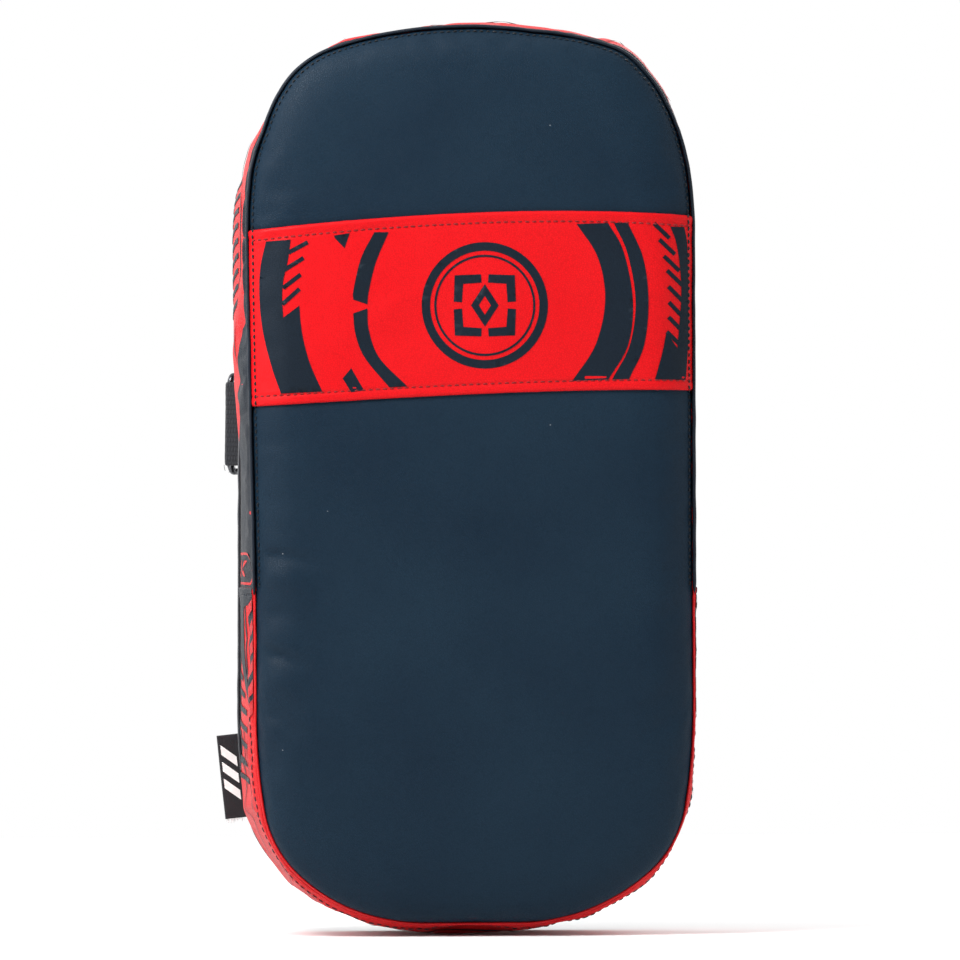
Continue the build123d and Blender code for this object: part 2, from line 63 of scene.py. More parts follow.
def metres(p):
    return (np.asarray(p, float) + ORIGIN) / 1000.0


def local(v):
    """A row-frame point in metres, in the pad's frame in millimetres."""
    return np.array(v, float) * 1000.0 - ORIGIN


STRAP_MID = {n: float(local((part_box(n + "_strap")[0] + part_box(n + "_strap")[1]) / 2)[2]) for n in ("upper", "lower")}
GRIP_LO, GRIP_HI = local(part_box("handle_wrap")[0]), local(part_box("handle_wrap")[1])
GRIP_W, GRIP_Y = (GRIP_LO[2] + GRIP_HI[2]) / 2, (GRIP_LO[1] + GRIP_HI[1]) / 2
CUSH_LO, CUSH_HI = local(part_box("forearm_cover")[0]), local(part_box("forearm_cover")[1])
BACK = 38.0
SEAM_FRONT, SEAM_REAR = -43.5, 36.0

# ================================================================ outline
ARCS = [((20.0, 90.0), 90.0, -90.0, -48.69), ((46.4055, 59.9543), 50.0, -48.69, -10.092),
        ((-150.5, 95.0), 250.0, -10.092, 0.0), None,
        ((-100.5, 308.0), 200.0, 0.0, 14.634), ((49.4717, 347.1596), 45.0, 14.634, 71.989),
        ((0.0, 195.0), 205.0, 71.989, 90.0)]


def make_outline():
    pts, nor = [], []
    for t in np.linspace(0, 20, 20, endpoint=False):
        pts.append((t, 0.0)); nor.append((0.0, -1.0))
    for a in ARCS:
        if a is None:
            for w in np.linspace(95, 308, 200, endpoint=False):
                pts.append((99.5, w)); nor.append((1.0, 0.0))
            continue
        c, r, a0, a1 = a
        n = max(8, int(r * math.radians(a1 - a0)))
        for t in np.linspace(a0, a1, n, endpoint=False):
            cs, sn = math.cos(math.radians(t)), math.sin(math.radians(t))
            pts.append((c[0] + r * cs, c[1] + r * sn)); nor.append((cs, sn))
    pts.append((0.0, 400.0)); nor.append((0.0, 1.0))
    right, rn = np.array(pts), np.array(nor)
    left, ln = right[::-1][1:] * [-1, 1], rn[::-1][1:] * [-1, 1]
    p, n = np.vstack([right, left]), np.vstack([rn, ln])
    s = np.concatenate([[0], np.cumsum(np.linalg.norm(np.diff(p, axis=0), axis=1))])
    return p, n, s


OP, ON, OS = make_outline()
LENGTH = OS[-1]


def on_outline(s):
    """Points and outward normals of the strike face's outline at arc lengths from the middle of the lower end, going up the +X side."""
    s = np.mod(np.asarray(s, float), LENGTH)
    p = np.stack([np.interp(s, OS, OP[:, k]) for k in (0, 1)], -1)
    n = np.stack([np.interp(s, OS, ON[:, k]) for k in (0, 1)], -1)
    return p, n / np.linalg.norm(n, axis=-1, keepdims=True)


def s_at(w, left):
    """Arc length where one side of the outline reaches a height."""
    half = OS <= LENGTH / 2 + 1e-6
    s = float(np.interp(w, OP[half][:, 1], OS[half]))
    return LENGTH - s if left else s


def outline_distance(x, w):
    """How far inside the outline points are."""
    q = np.stack([np.ravel(x), np.ravel(w)], -1)
    coarse = OP[::2]
    best = np.full(len(q), 1e9)
    for i in range(0, len(q), 4000):
        best[i:i + 4000] = np.sqrt(((q[i:i + 4000, None] - coarse[None]) ** 2).sum(-1)).min(1)
    return best.reshape(np.shape(x))


def fbm(p, scale, octaves=3, seed=0.0):
    """Smooth noise, about -1 to 1, at points in millimetres."""
    return np.array([noise.fractal(Vector((a[0] / scale + seed, a[1] / scale - seed, a[2] / scale + 2 * seed)), 1.0, 2.0, octaves)
                     for a in p])


def bell(x, c, r):
    return np.exp(-((x - c) / r) ** 2)


# ================================================================ band edges
_tx = np.array([-99.5, -92.4, -69.7, -39.0, 4.7, 32.7, 69.7, 88.0, 98.2])
_tw = np.array([309.4, 310.9, 312.9, 315.2, 317.3, 318.0, 317.8, 317.0, 315.6])
_bx = np.array([-96.4, -54.1, 4.7, 47.4, 76.8, 98.2])
_bw = np.array([230.9, 233.4, 236.0, 237.4, 237.9, 237.4])
TOP_FIT, LOW_FIT = np.polyfit(_tx, _tw, 3), np.polyfit(_bx, _bw, 3)


def band_top(x):
    return np.polyval(TOP_FIT, x)


def band_low(x):
    return np.polyval(LOW_FIT, x)


# ================================================================ materials
def lin(r, g, b):
    return tuple((c / 255 / 12.92) if c / 255 <= 0.04045 else ((c / 255 + 0.055) / 1.055) ** 2.4 for c in (r, g, b)) + (1.0,)


class Graph:
    """A small helper that builds a node material."""

    def __init__(self, name):
        self.mat = bpy.data.materials.new(name)
        self.mat.use_nodes = True
        self.tree = self.mat.node_tree
        self.bsdf = self.tree.nodes["Principled BSDF"]
        self._coord = None

    def node(self, kind, inputs=None, **props):
        n = self.tree.nodes.new(kind)
        for k, v in props.items():
            setattr(n, k, v)
        for k, v in (inputs or {}).items():
            self.put(n.inputs[k], v)
        return n

    def put(self, socket, v):
        if isinstance(v, bpy.types.NodeSocket):
            self.tree.links.new(v, socket)
        else:
            socket.default_value = v

    def coord(self, uv=False):
        if self._coord is None:
            self._coord = self.node("ShaderNodeTexCoord")
        return self._coord.outputs["UV" if uv else "Object"]

    def math(self, op, a, b=0.0, c=0.0, clamp=False):
        n = self.node("ShaderNodeMath", operation=op, use_clamp=clamp)
        for i, v in enumerate((a, b, c)):
            self.put(n.inputs[i], v)
        return n.outputs[0]

    def noise(self, scale, detail=3.0, rough=0.55, vector=None, distortion=0.0):
        return self.node("ShaderNodeTexNoise", {"Vector": vector or self.coord(), "Scale": scale, "Detail": detail,
                                                "Roughness": rough, "Distortion": distortion}).outputs["Fac"]

    def voronoi(self, scale, feature="F1", vector=None, out="Distance", rand=1.0):
        n = self.node("ShaderNodeTexVoronoi", feature=feature)
        self.put(n.inputs["Vector"], vector or self.coord())
        self.put(n.inputs["Scale"], scale)
        self.put(n.inputs["Randomness"], rand)
        return n.outputs[out]

    def span(self, v, a, b, c=0.0, d=1.0, smooth=False):
        n = self.node("ShaderNodeMapRange", interpolation_type="SMOOTHSTEP" if smooth else "LINEAR")
        n.clamp = True
        for i, x in enumerate((v, a, b, c, d)):
            self.put(n.inputs[i], x)
        return n.outputs[0]

    def mix(self, f, a, b, blend="MIX"):
        n = self.node("ShaderNodeMix", data_type="RGBA", blend_type=blend)
        self.put(n.inputs["Factor"], f)
        self.put(n.inputs[6], a)
        self.put(n.inputs[7], b)
        return n.outputs[2]

    def bump(self, height, distance, normal=None, strength=1.0):
        n = self.node("ShaderNodeBump", {"Height": height, "Distance": distance, "Strength": strength})
        if normal is not None:
            self.put(n.inputs["Normal"], normal)
        return n.outputs[0]

    def done(self, **sockets):
        for k, v in sockets.items():
            self.put(self.bsdf.inputs[k.replace("_", " ")], v)
        return self.mat


def leather(name, dark, light, rough=(0.42, 0.56), cell=1050.0, depth=0.00010, spec=0.42, coat=0.0, specks=0.0, crease=0.00030,
            wear=None):
    """Pebble-grained coated leather: cells of about 1 mm, pores, soft creases, uneven colour with painted shade in the
    grain's valleys, and gloss.
    """
    g = Graph(name)
    warp = g.node("ShaderNodeTexNoise", {"Vector": g.coord(), "Scale": 420.0, "Detail": 1.0})
    vec = g.node("ShaderNodeMix", data_type="VECTOR")
    g.put(vec.inputs["Factor"], 0.00055)
    g.put(vec.inputs[4], g.coord())
    g.put(vec.inputs[5], warp.outputs["Color"])
    v = vec.outputs[1]
    edge = g.voronoi(cell, "DISTANCE_TO_EDGE", v)
    pebble = g.span(edge, 0.0, 0.22, smooth=True)
    fine = g.noise(2600.0, 2.0)
    pores = g.span(g.voronoi(cell * 0.62, "F1", v), 0.0, 0.14)
    large = g.noise(95.0, 3.0, 0.6)
    soft = g.noise(14.0, 3.0)
    drift = g.noise(5.0, 2.0)
    height = g.math("ADD", g.math("MULTIPLY", pebble, 0.62), g.math("ADD", g.math("MULTIPLY", fine, 0.2), g.math("MULTIPLY", pores, 0.18)))
    n1 = g.bump(large, crease, strength=0.55)
    n2 = g.bump(height, depth, n1)
    base = g.mix(g.span(soft, 0.3, 0.72), dark, light)
    mid = tuple(0.5 * (a + b) for a, b in zip(dark, light))
    base = g.mix(g.math("MULTIPLY", g.span(drift, 0.35, 0.7), 0.35), base, mid)
    # painted shade: the colour darkens in the valleys between the pebbles
    valley_shade = tuple(c * 0.62 for c in dark[:3]) + (1.0,)
    base = g.mix(g.math("MULTIPLY", g.math("SUBTRACT", 1.0, pebble), 0.45), base, valley_shade)
    if wear is not None:
        rub = g.math("MULTIPLY", g.span(g.noise(38.0, 5.0, 0.7), 0.60, 0.78), 0.30)
        base = g.mix(rub, base, wear)
    if specks:
        near = g.voronoi(150.0, "F1", g.coord())
        pick = g.node("ShaderNodeTexVoronoi", {"Vector": g.coord(), "Scale": 150.0}).outputs["Color"]
        chosen = g.math("GREATER_THAN", g.node("ShaderNodeSeparateColor", {"Color": pick}).outputs[0], 0.93)
        dot = g.math("MULTIPLY", g.math("LESS_THAN", near, 0.045), chosen)
        base = g.mix(g.math("MULTIPLY", dot, specks), base, (0.42, 0.45, 0.48, 1.0))
    r = g.span(g.math("ADD", g.math("MULTIPLY", soft, 0.6), g.math("MULTIPLY", large, 0.4)), 0.3, 0.7, rough[0], rough[1])
    r = g.math("ADD", r, g.math("MULTIPLY", g.math("SUBTRACT", 1.0, pebble), 0.10))
    g.done(Base_Color=base, Roughness=r, Normal=n2)
    g.bsdf.inputs["Specular IOR Level"].default_value = spec
    g.bsdf.inputs["Coat Weight"].default_value = coat
    g.bsdf.inputs["Coat Roughness"].default_value = 0.35
    return g.mat


def woven(name, dark, light, rib=0.0016, col=0.0021, depth=0.00022, rough=0.72, sheen=0.25):
    """Ribbed polyester webbing. The map's first coordinate runs along the web in metres, the second across it."""
    g = Graph(name)
    sep = g.node("ShaderNodeSeparateXYZ", {"Vector": g.coord(uv=True)})
    u, v = sep.outputs[0], sep.outputs[1]
    c = g.math("DIVIDE", v, col)
    cell = g.math("FLOOR", c)
    odd = g.math("MULTIPLY", g.math("MODULO", g.math("ABSOLUTE", cell), 2.0), 0.5)
    across = g.math("ABSOLUTE", g.math("SINE", g.math("MULTIPLY", c, math.pi)))
    along = g.math("ABSOLUTE", g.math("SINE", g.math("MULTIPLY", g.math("ADD", g.math("DIVIDE", u, rib), odd), math.pi)))
    weave = g.math("MULTIPLY", g.math("POWER", along, 0.6), g.math("POWER", across, 0.5))
    fibre = g.noise(3800.0, 2.0)
    fuzz = g.noise(60.0, 4.0, 0.7)
    h = g.math("ADD", weave, g.math("MULTIPLY", fibre, 0.25))
    # painted shade and highlight: the colour follows the weave's height, darker in its grooves and lighter on its ribs
    base = g.mix(weave, dark, light)
    base = g.mix(g.math("MULTIPLY", g.span(fuzz, 0.45, 0.75), 0.35), base, tuple(min(1, 1.9 * c + 0.004) for c in light[:3]) + (1.0,))
    g.done(Base_Color=base, Roughness=g.span(fuzz, 0.3, 0.7, rough - 0.08, rough + 0.12), Normal=g.bump(h, depth))
    g.bsdf.inputs["Sheen Weight"].default_value = sheen
    g.bsdf.inputs["Sheen Roughness"].default_value = 0.45
    g.bsdf.inputs["Specular IOR Level"].default_value = 0.3
    return g.mat


def thread(name, base, light, rough=0.5):
    """Twisted sewing thread: its ply pattern is mixed towards the lighter colour as painted highlight on the twist, and
    random patches are lightened too.
    """
    g = Graph(name)
    ply = g.node("ShaderNodeTexWave", {"Vector": g.coord(), "Scale": 900.0, "Distortion": 3.0, "Detail": 1.0}, bands_direction="DIAGONAL").outputs["Fac"]
    spot = g.noise(210.0, 2.0)
    # painted highlight along the ply's ridges; random patches are lightened as well
    col = g.mix(g.math("MULTIPLY", ply, 0.6), base, light)
    col = g.mix(g.math("MULTIPLY", g.span(spot, 0.55, 0.7), 0.5), col, light)
    g.done(Base_Color=col, Roughness=g.span(spot, 0.3, 0.7, rough - 0.1, rough + 0.1), Normal=g.bump(ply, 0.00008))
    g.bsdf.inputs["Sheen Weight"].default_value = 0.05
    g.bsdf.inputs["Specular IOR Level"].default_value = 0.25
    return g.mat


def metal(name, colour, rough=(0.12, 0.26), brushed=False):
    g = Graph(name)
    stretch = g.node("ShaderNodeMapping", {"Vector": g.coord(), "Scale": (1.0, 1.0, 14.0) if brushed else (1.0, 1.0, 1.0)}).outputs[0]
    scratch = g.noise(900.0, 3.0, 0.7, stretch)
    dull = g.noise(120.0, 4.0, 0.65)
    tint = g.mix(g.span(dull, 0.4, 0.75), colour, tuple(c * 0.72 for c in colour[:3]) + (1.0,))
    r = g.math("ADD", g.span(dull, 0.3, 0.75, rough[0], rough[1]), g.math("MULTIPLY", scratch, 0.10))
    g.done(Base_Color=tint, Roughness=r, Normal=g.bump(scratch, 0.00003))
    g.bsdf.inputs["Metallic"].default_value = 1.0
    return g.mat


def pile(name, dark, light, scale=1500.0, depth=0.0006):
    """Loop pile or hook tape: a field of small tufts."""
    g = Graph(name)
    v = g.voronoi(scale, "F1", g.coord())
    tuft = g.span(v, 0.05, 0.65, 1.0, 0.0, smooth=True)
    tangle = g.noise(2600.0, 3.0, 0.7)
    patch = g.noise(90.0, 3.0)
    h = g.math("ADD", tuft, g.math("MULTIPLY", tangle, 0.5))
    # painted shade and highlight: the colour follows the tufts, darker between them and lighter on their tops, with
    # random fibre noise
    base = g.mix(g.math("MULTIPLY", tuft, tangle), dark, light)
    base = g.mix(g.math("MULTIPLY", g.span(patch, 0.5, 0.7), 0.3), base, light)
    g.done(Base_Color=base, Roughness=g.span(tangle, 0.3, 0.7, 0.8, 0.98), Normal=g.bump(h, depth))
    g.bsdf.inputs["Sheen Weight"].default_value = 0.5
    g.bsdf.inputs["Specular IOR Level"].default_value = 0.15
    return g.mat


def foam(name, dark, light):
    g = Graph(name)
    cells = g.voronoi(1300.0, "F1", g.coord())
    cloud = g.noise(45.0, 3.0)
    g.done(Base_Color=g.mix(g.math("MULTIPLY", cells, cloud), light, dark), Roughness=g.span(cloud, 0.3, 0.7, 0.82, 0.95),
           Normal=g.bump(cells, 0.0002))
    return g.mat


NAVY = leather("navy_leather", lin(15, 33, 48), lin(21, 41, 56), rough=(0.38, 0.50), spec=0.10, specks=0.4)
RED = leather("red_leather", (0.56, 0.0030, 0.006, 1), (0.63, 0.0050, 0.008, 1), rough=(0.36, 0.48), depth=0.00006, spec=0.12)
RED_SIDE = leather("red_side_leather", (0.50, 0.0035, 0.006, 1), (0.58, 0.006, 0.009, 1), rough=(0.42, 0.55), depth=0.00008, spec=0.22)
INK = leather("navy_print", lin(14, 24, 34), lin(18, 30, 42), rough=(0.44, 0.56), depth=0.00006, spec=0.12)
INK_SIDE = leather("side_print", lin(14, 20, 29), lin(21, 30, 40), rough=(0.44, 0.58), depth=0.00008, spec=0.22)
LIP = leather("lip_leather", lin(13, 21, 31), lin(20, 31, 43), rough=(0.42, 0.56), depth=0.00007, spec=0.18)
RED_PRINT = leather("red_print", (0.42, 0.003, 0.006, 1), (0.50, 0.006, 0.009, 1), rough=(0.42, 0.55), depth=0.00008, spec=0.34)
BACK_LEATHER = leather("back_leather", lin(22, 26, 31), lin(34, 39, 45), rough=(0.46, 0.62), depth=0.00012, spec=0.4, wear=lin(62, 66, 70))
CUSHION_LEATHER = leather("cushion_leather", lin(26, 30, 36), lin(36, 42, 49), rough=(0.44, 0.58), depth=0.00011, spec=0.42, wear=lin(60, 64, 69))
GRIP_LEATHER = leather("grip_leather", lin(24, 25, 28), lin(36, 38, 42), rough=(0.34, 0.5), cell=1300, depth=0.00009, spec=0.45, wear=lin(70, 70, 72))
PATCH_LEATHER = leather("patch_leather", lin(28, 31, 36), lin(40, 44, 50), rough=(0.42, 0.56), depth=0.00010, spec=0.42, wear=lin(74, 76, 80))
WEB = woven("webbing", lin(7, 8, 11), lin(26, 28, 34), sheen=0.06)
TAPE = woven("binding_tape", lin(14, 15, 18), lin(40, 43, 50), rib=0.0008, col=0.0012, depth=0.00012)
SATIN = woven("label_satin", lin(9, 9, 12), lin(24, 25, 30), rib=0.0004, col=0.0005, depth=0.00005, rough=0.45)
SATIN_WHITE = woven("label_white", lin(205, 205, 203), lin(238, 238, 236), rib=0.0004, col=0.0005, depth=0.00005, rough=0.5)
THREAD_DARK = thread("thread_dark", lin(7, 10, 16), lin(46, 55, 68))
THREAD_SEAM = thread("thread_seam", lin(2, 4, 8), lin(16, 22, 32))
THREAD_RED = thread("thread_red", lin(96, 4, 9), lin(160, 22, 28))
THREAD_BLACK = thread("thread_black", lin(18, 18, 20), lin(64, 66, 70))
THREAD_GREY = thread("thread_grey", lin(52, 55, 60), lin(120, 124, 130))
CHROME = metal("ring_black_nickel", (0.085, 0.088, 0.095, 1))
STEEL = metal("rivet_steel", (0.52, 0.52, 0.54, 1), (0.22, 0.4), True)
LOOP_PILE = pile("loop_pile", lin(14, 14, 16), lin(54, 55, 58))
HOOK = pile("hook_tape", lin(12, 12, 13), lin(60, 60, 64), scale=900.0, depth=0.0005)
FOAM = foam("eva_foam", lin(70, 70, 74), lin(104, 104, 108))
BOARD = foam("board_plastic", lin(40, 40, 42), lin(58, 58, 60))
RUBBER = foam("grip_rubber", lin(22, 22, 23), lin(38, 38, 40))

# ================================================================ mesh helpers
def ease(x):
    x = np.clip(x, 0, 1)
    return x * x * (3 - 2 * x)


def drawn_in(v):
    """The front seam sits further in along the lower left than at the band, so the side wall shows more there.
    The rear edge stands in a little on the left, more so in the upper corner, the wall swells beside the band, and both upper corners are drawn in a little."""
    v = np.array(v, float)
    a = np.interp(v[:, 2], [-4, 14, 50, 100, 160, 215, 285, 350, 408], [0.0, 1.6, 3.0, 3.6, 3.3, 2.2, 1.0, 0.4, 0.0])
    v[:, 0] += a * ease((6.0 - v[:, 1]) / 44.0) * ease((-48.0 - v[:, 0]) / 44.0)
    b = np.interp(v[:, 2], [328, 346, 360, 376, 390, 408], [0.0, 2.6, 4.6, 4.6, 3.2, 0.6])
    v[:, 0] += b * ease((v[:, 1] + 34.0) / 44.0) * ease((-52.0 - v[:, 0]) / 26.0)
    r = np.interp(v[:, 2], [60, 120, 200, 232, 322, 348], [0.0, 0.5, 0.9, 1.5, 1.5, 0.0])
    v[:, 0] += r * ease((v[:, 1] - 24.0) / 9.0) * ease((-86.0 - v[:, 0]) / 12.0)
    w = np.interp(v[:, 2], [206, 240, 322, 342, 352], [0.0, 3.0, 3.4, 1.6, 0.0])
    v[:, 0] -= w * ease((v[:, 1] + 42.0) / 28.0) * ease((36.0 - v[:, 1]) / 24.0) * ease((-86.0 - v[:, 0]) / 12.0)
    c = np.interp(v[:, 2], [338, 354, 366, 380, 388, 394], [0.0, 1.2, 2.8, 2.6, 0.8, 0.0])
    v[:, 0] -= c * ease((v[:, 0] - 46.0) / 30.0)
    e = np.interp(v[:, 2], [336, 346, 354, 363, 372, 381, 390, 399, 407], [0.0, 0.9, 2.4, 3.2, 3.4, 2.6, 2.2, 1.4, 0.0])
    v[:, 0] += e * ease((-44.0 - v[:, 0]) / 32.0)
    h = np.interp(v[:, 0], [28, 50, 70, 92], [0.0, 1.7, 1.7, 0.0])
    v[:, 2] += h * ease((v[:, 2] - 368.0) / 20.0) * (0.7 + 0.3 * ease((v[:, 1] + 42.0) / 30.0))
    return v


def piece(name, verts, faces, mats, body=None, smooth=True, face_mats=None, uv=None, solid=0.0, sub=0):
    """A mesh object from points in the pad's frame. uv is one pair per vertex."""
    if name != "sim":
        verts = drawn_in(verts)
    me = bpy.data.meshes.new(name)
    me.from_pydata([tuple(v) for v in metres(verts)], [], [tuple(int(i) for i in f) for f in faces])
    for m in mats if isinstance(mats, (list, tuple)) else [mats]:
        me.materials.append(m)
    if face_mats is not None:
        me.polygons.foreach_set("material_index", np.asarray(face_mats, np.int32))
    if smooth:
        me.polygons.foreach_set("use_smooth", np.ones(len(me.polygons), bool))
    if uv is not None:
        layer = me.uv_layers.new(name="UVMap")
        idx = np.zeros(len(me.loops), np.int32)
        me.loops.foreach_get("vertex_index", idx)
        layer.data.foreach_set("uv", np.asarray(uv, np.float32)[idx].ravel())
    me.update()
    o = bpy.data.objects.new(name, me)
    bpy.context.scene.collection.objects.link(o)
    if solid:
        m = o.modifiers.new("thickness", "SOLIDIFY")
        m.thickness, m.offset, m.use_even_offset = solid / 1000.0, -1.0, False
    if sub:
        m = o.modifiers.new("smooth", "SUBSURF")
        m.levels = m.render_levels = sub
    if body:
        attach(o, body)
    return o


def face_out(verts, faces, direction):
    """Flips the faces, if needed, so that they look along a direction on average."""
    v = np.asarray(verts)
    f = faces[len(faces) // 2]
    n = np.cross(v[f[1]] - v[f[0]], v[f[2]] - v[f[1]])
    return faces if n @ np.asarray(direction) > 0 else [tuple(reversed(x)) for x in faces]


def loop_of_rect(cx, cw, wide, tall, r, n=200):
    """Outline of a rounded rectangle, starting at the middle of its lower side, with outward normals."""
    hx, hw = wide / 2 - r, tall / 2 - r
    pts, nor = [], []

    def line(a, b, nn, k):
        for t in np.linspace(0, 1, k, endpoint=False):
            pts.append((a[0] + (b[0] - a[0]) * t, a[1] + (b[1] - a[1]) * t)); nor.append(nn)

    def arc(c, a0, a1, k):
        for t in np.linspace(a0, a1, k, endpoint=False):
            cs, sn = math.cos(math.radians(t)), math.sin(math.radians(t))
            pts.append((c[0] + r * cs, c[1] + r * sn)); nor.append((cs, sn))

    line((0, -hw - r), (hx, -hw - r), (0, -1), 40)
    arc((hx, -hw), -90, 0, 30)
    line((hx + r, -hw), (hx + r, hw), (1, 0), 90)
    arc((hx, hw), 0, 90, 30)
    line((hx, hw + r), (-hx, hw + r), (0, 1), 80)
    arc((-hx, hw), 90, 180, 30)
    line((-hx - r, hw), (-hx - r, -hw), (-1, 0), 90)
    arc((-hx, -hw), 180, 270, 30)
    line((-hx, -hw - r), (0, -hw - r), (0, -1), 40)
    p, nn = np.array(pts), np.array(nor)
    closed = np.vstack([p, p[:1]])
    s = np.concatenate([[0], np.cumsum(np.linalg.norm(np.diff(closed, axis=0), axis=1))])
    at = np.arange(n) / n * s[-1]
    closed_n = np.vstack([nn, nn[:1]])
    q = np.stack([np.interp(at, s, closed[:, k]) for k in (0, 1)], -1)
    m = np.stack([np.interp(at, s, closed_n[:, k]) for k in (0, 1)], -1)
    m /= np.linalg.norm(m, axis=1, keepdims=True)
    return q + [cx, cw], m, s[-1]


def field(loop, normals, ds, corner):
    """A quad mesh that fills a loop: rows along the edge at the distances ds inside it, then a grid.
    Returns the points (x, w), faces, and each point's row or -1. corner is the index of the first corner of the grid."""
    n = len(loop)
    pts = [loop - normals * d for d in ds]
    rows = np.concatenate([np.full(n, k) for k in range(len(ds))])
    flat = np.vstack(pts)
    faces = []
    for k in range(len(ds) - 1):
        for i in range(n):
            j = (i + 1) % n
            faces.append((k * n + i, k * n + j, (k + 1) * n + j, (k + 1) * n + i))
    base = (len(ds) - 1) * n
    inner = flat[base:base + n]
    a = corner
    nu, nv = 2 * a, n // 2 - 2 * a
    low = [(-a + i) % n for i in range(nu + 1)]
    right = [(a + j) % n for j in range(nv + 1)]
    top = [(a + nv + nu - i) % n for i in range(nu + 1)]
    left = [(-a - j) % n for j in range(nv + 1)]
    ids = np.full((nu + 1, nv + 1), -1)
    for i in range(nu + 1):
        ids[i, 0], ids[i, nv] = base + low[i], base + top[i]
    for j in range(nv + 1):
        ids[nu, j], ids[0, j] = base + right[j], base + left[j]
    extra = []
    for i in range(1, nu):
        for j in range(1, nv):
            u, v = i / nu, j / nv
            p = ((1 - v) * inner[low[i]] + v * inner[top[i]] + (1 - u) * inner[left[j]] + u * inner[right[j]]
                 - (1 - u) * (1 - v) * inner[low[0]] - u * (1 - v) * inner[low[nu]]
                 - (1 - u) * v * inner[top[0]] - u * v * inner[top[nu]])
            ids[i, j] = base + n + len(extra)
            extra.append(p)
    for i in range(nu):
        for j in range(nv):
            faces.append((ids[i, j], ids[i + 1, j], ids[i + 1, j + 1], ids[i, j + 1]))
    if extra:
        flat = np.vstack([flat, np.array(extra)])
        rows = np.concatenate([rows, np.full(len(extra), -1)])
    return flat, faces, rows


def relax(verts, faces, free, times=6):
    """Evens out the free points."""
    v = np.array(verts, float)
    e = set()
    for f in faces:
        for a, b in zip(f, f[1:] + f[:1]):
            e.add((min(a, b), max(a, b)))
    e = np.array(sorted(e))
    for _ in range(times):
        acc, cnt = np.zeros_like(v), np.zeros(len(v))
        np.add.at(acc, e[:, 0], v[e[:, 1]]); np.add.at(acc, e[:, 1], v[e[:, 0]])
        np.add.at(cnt, e[:, 0], 1); np.add.at(cnt, e[:, 1], 1)
        avg = acc / np.maximum(cnt, 1)[:, None]
        v[free] = 0.4 * v[free] + 0.6 * avg[free]
    return v


def normals_of(verts, faces):
    v = np.asarray(verts, float)
    n = np.zeros_like(v)
    f = np.array([x[:4] if len(x) >= 4 else tuple(x) + (x[-1],) for x in faces])
    fn = np.cross(v[f[:, 2]] - v[f[:, 0]], v[f[:, 3]] - v[f[:, 1]])
    for k in range(4):
        np.add.at(n, f[:, k], fn)
    return n / np.maximum(np.linalg.norm(n, axis=1, keepdims=True), 1e-9)


def simulate(verts, faces, pinned, pressure=4.0, frames=20, cap=3.0, shrink=0.0, tension=18.0, bending=1.5):
    """Cloth with inner pressure on a closed mesh whose seams are pinned. Returns the moved points, none further than cap."""
    start = np.array(verts, float)
    o = piece("sim", start, faces, NAVY)
    group = o.vertex_groups.new(name="pin")
    group.add([int(i) for i in np.nonzero(pinned)[0]], 1.0, "REPLACE")
    m = o.modifiers.new("cloth", "CLOTH")
    s = m.settings
    s.quality = 5
    s.mass = 0.3
    s.tension_stiffness = s.compression_stiffness = tension
    s.shear_stiffness = tension * 0.6
    s.bending_stiffness = bending
    s.use_pressure = True
    s.uniform_pressure_force = pressure
    s.vertex_group_mass = "pin"
    s.shrink_min = shrink
    s.effector_weights.gravity = 0.0
    m.collision_settings.use_collision = False
    m.collision_settings.use_self_collision = False
    m.point_cache.frame_start, m.point_cache.frame_end = 1, frames
    scene = bpy.context.scene
    for f in range(1, frames + 1):
        scene.frame_set(f)
    e = o.evaluated_get(bpy.context.evaluated_depsgraph_get())
    me = e.to_mesh()
    co = np.zeros(len(me.vertices) * 3, np.float32)
    me.vertices.foreach_get("co", co)
    e.to_mesh_clear()
    moved = co.reshape(-1, 3).astype(float) * 1000.0 - ORIGIN
    scene.frame_set(1)
    bpy.data.objects.remove(o)
    d = moved - start
    size = np.linalg.norm(d, axis=1, keepdims=True)
    print(f"cloth: {len(start)} points, moved up to {size.max():.2f} mm, mean {size.mean():.2f}")
    return start + d * np.minimum(1.0, cap / np.maximum(size, 1e-9))


TEMPLATE = []
for _i, _x in enumerate((-0.98, -0.7, 0.0, 0.7, 0.98)):
    _r = (1 - abs(_x) ** 3.0) ** 0.5
    for _j in range(6):
        _a = math.pi / 3 * _j
        TEMPLATE.append((_x, _r * math.cos(_a), _r * math.sin(_a)))
TEMPLATE = np.array(TEMPLATE)
TFACES = [(i * 6 + j, i * 6 + (j + 1) % 6, (i + 1) * 6 + (j + 1) % 6, (i + 1) * 6 + j) for i in range(4) for j in range(6)]
TFACES += [tuple(range(5, -1, -1)), tuple(range(24, 30))]


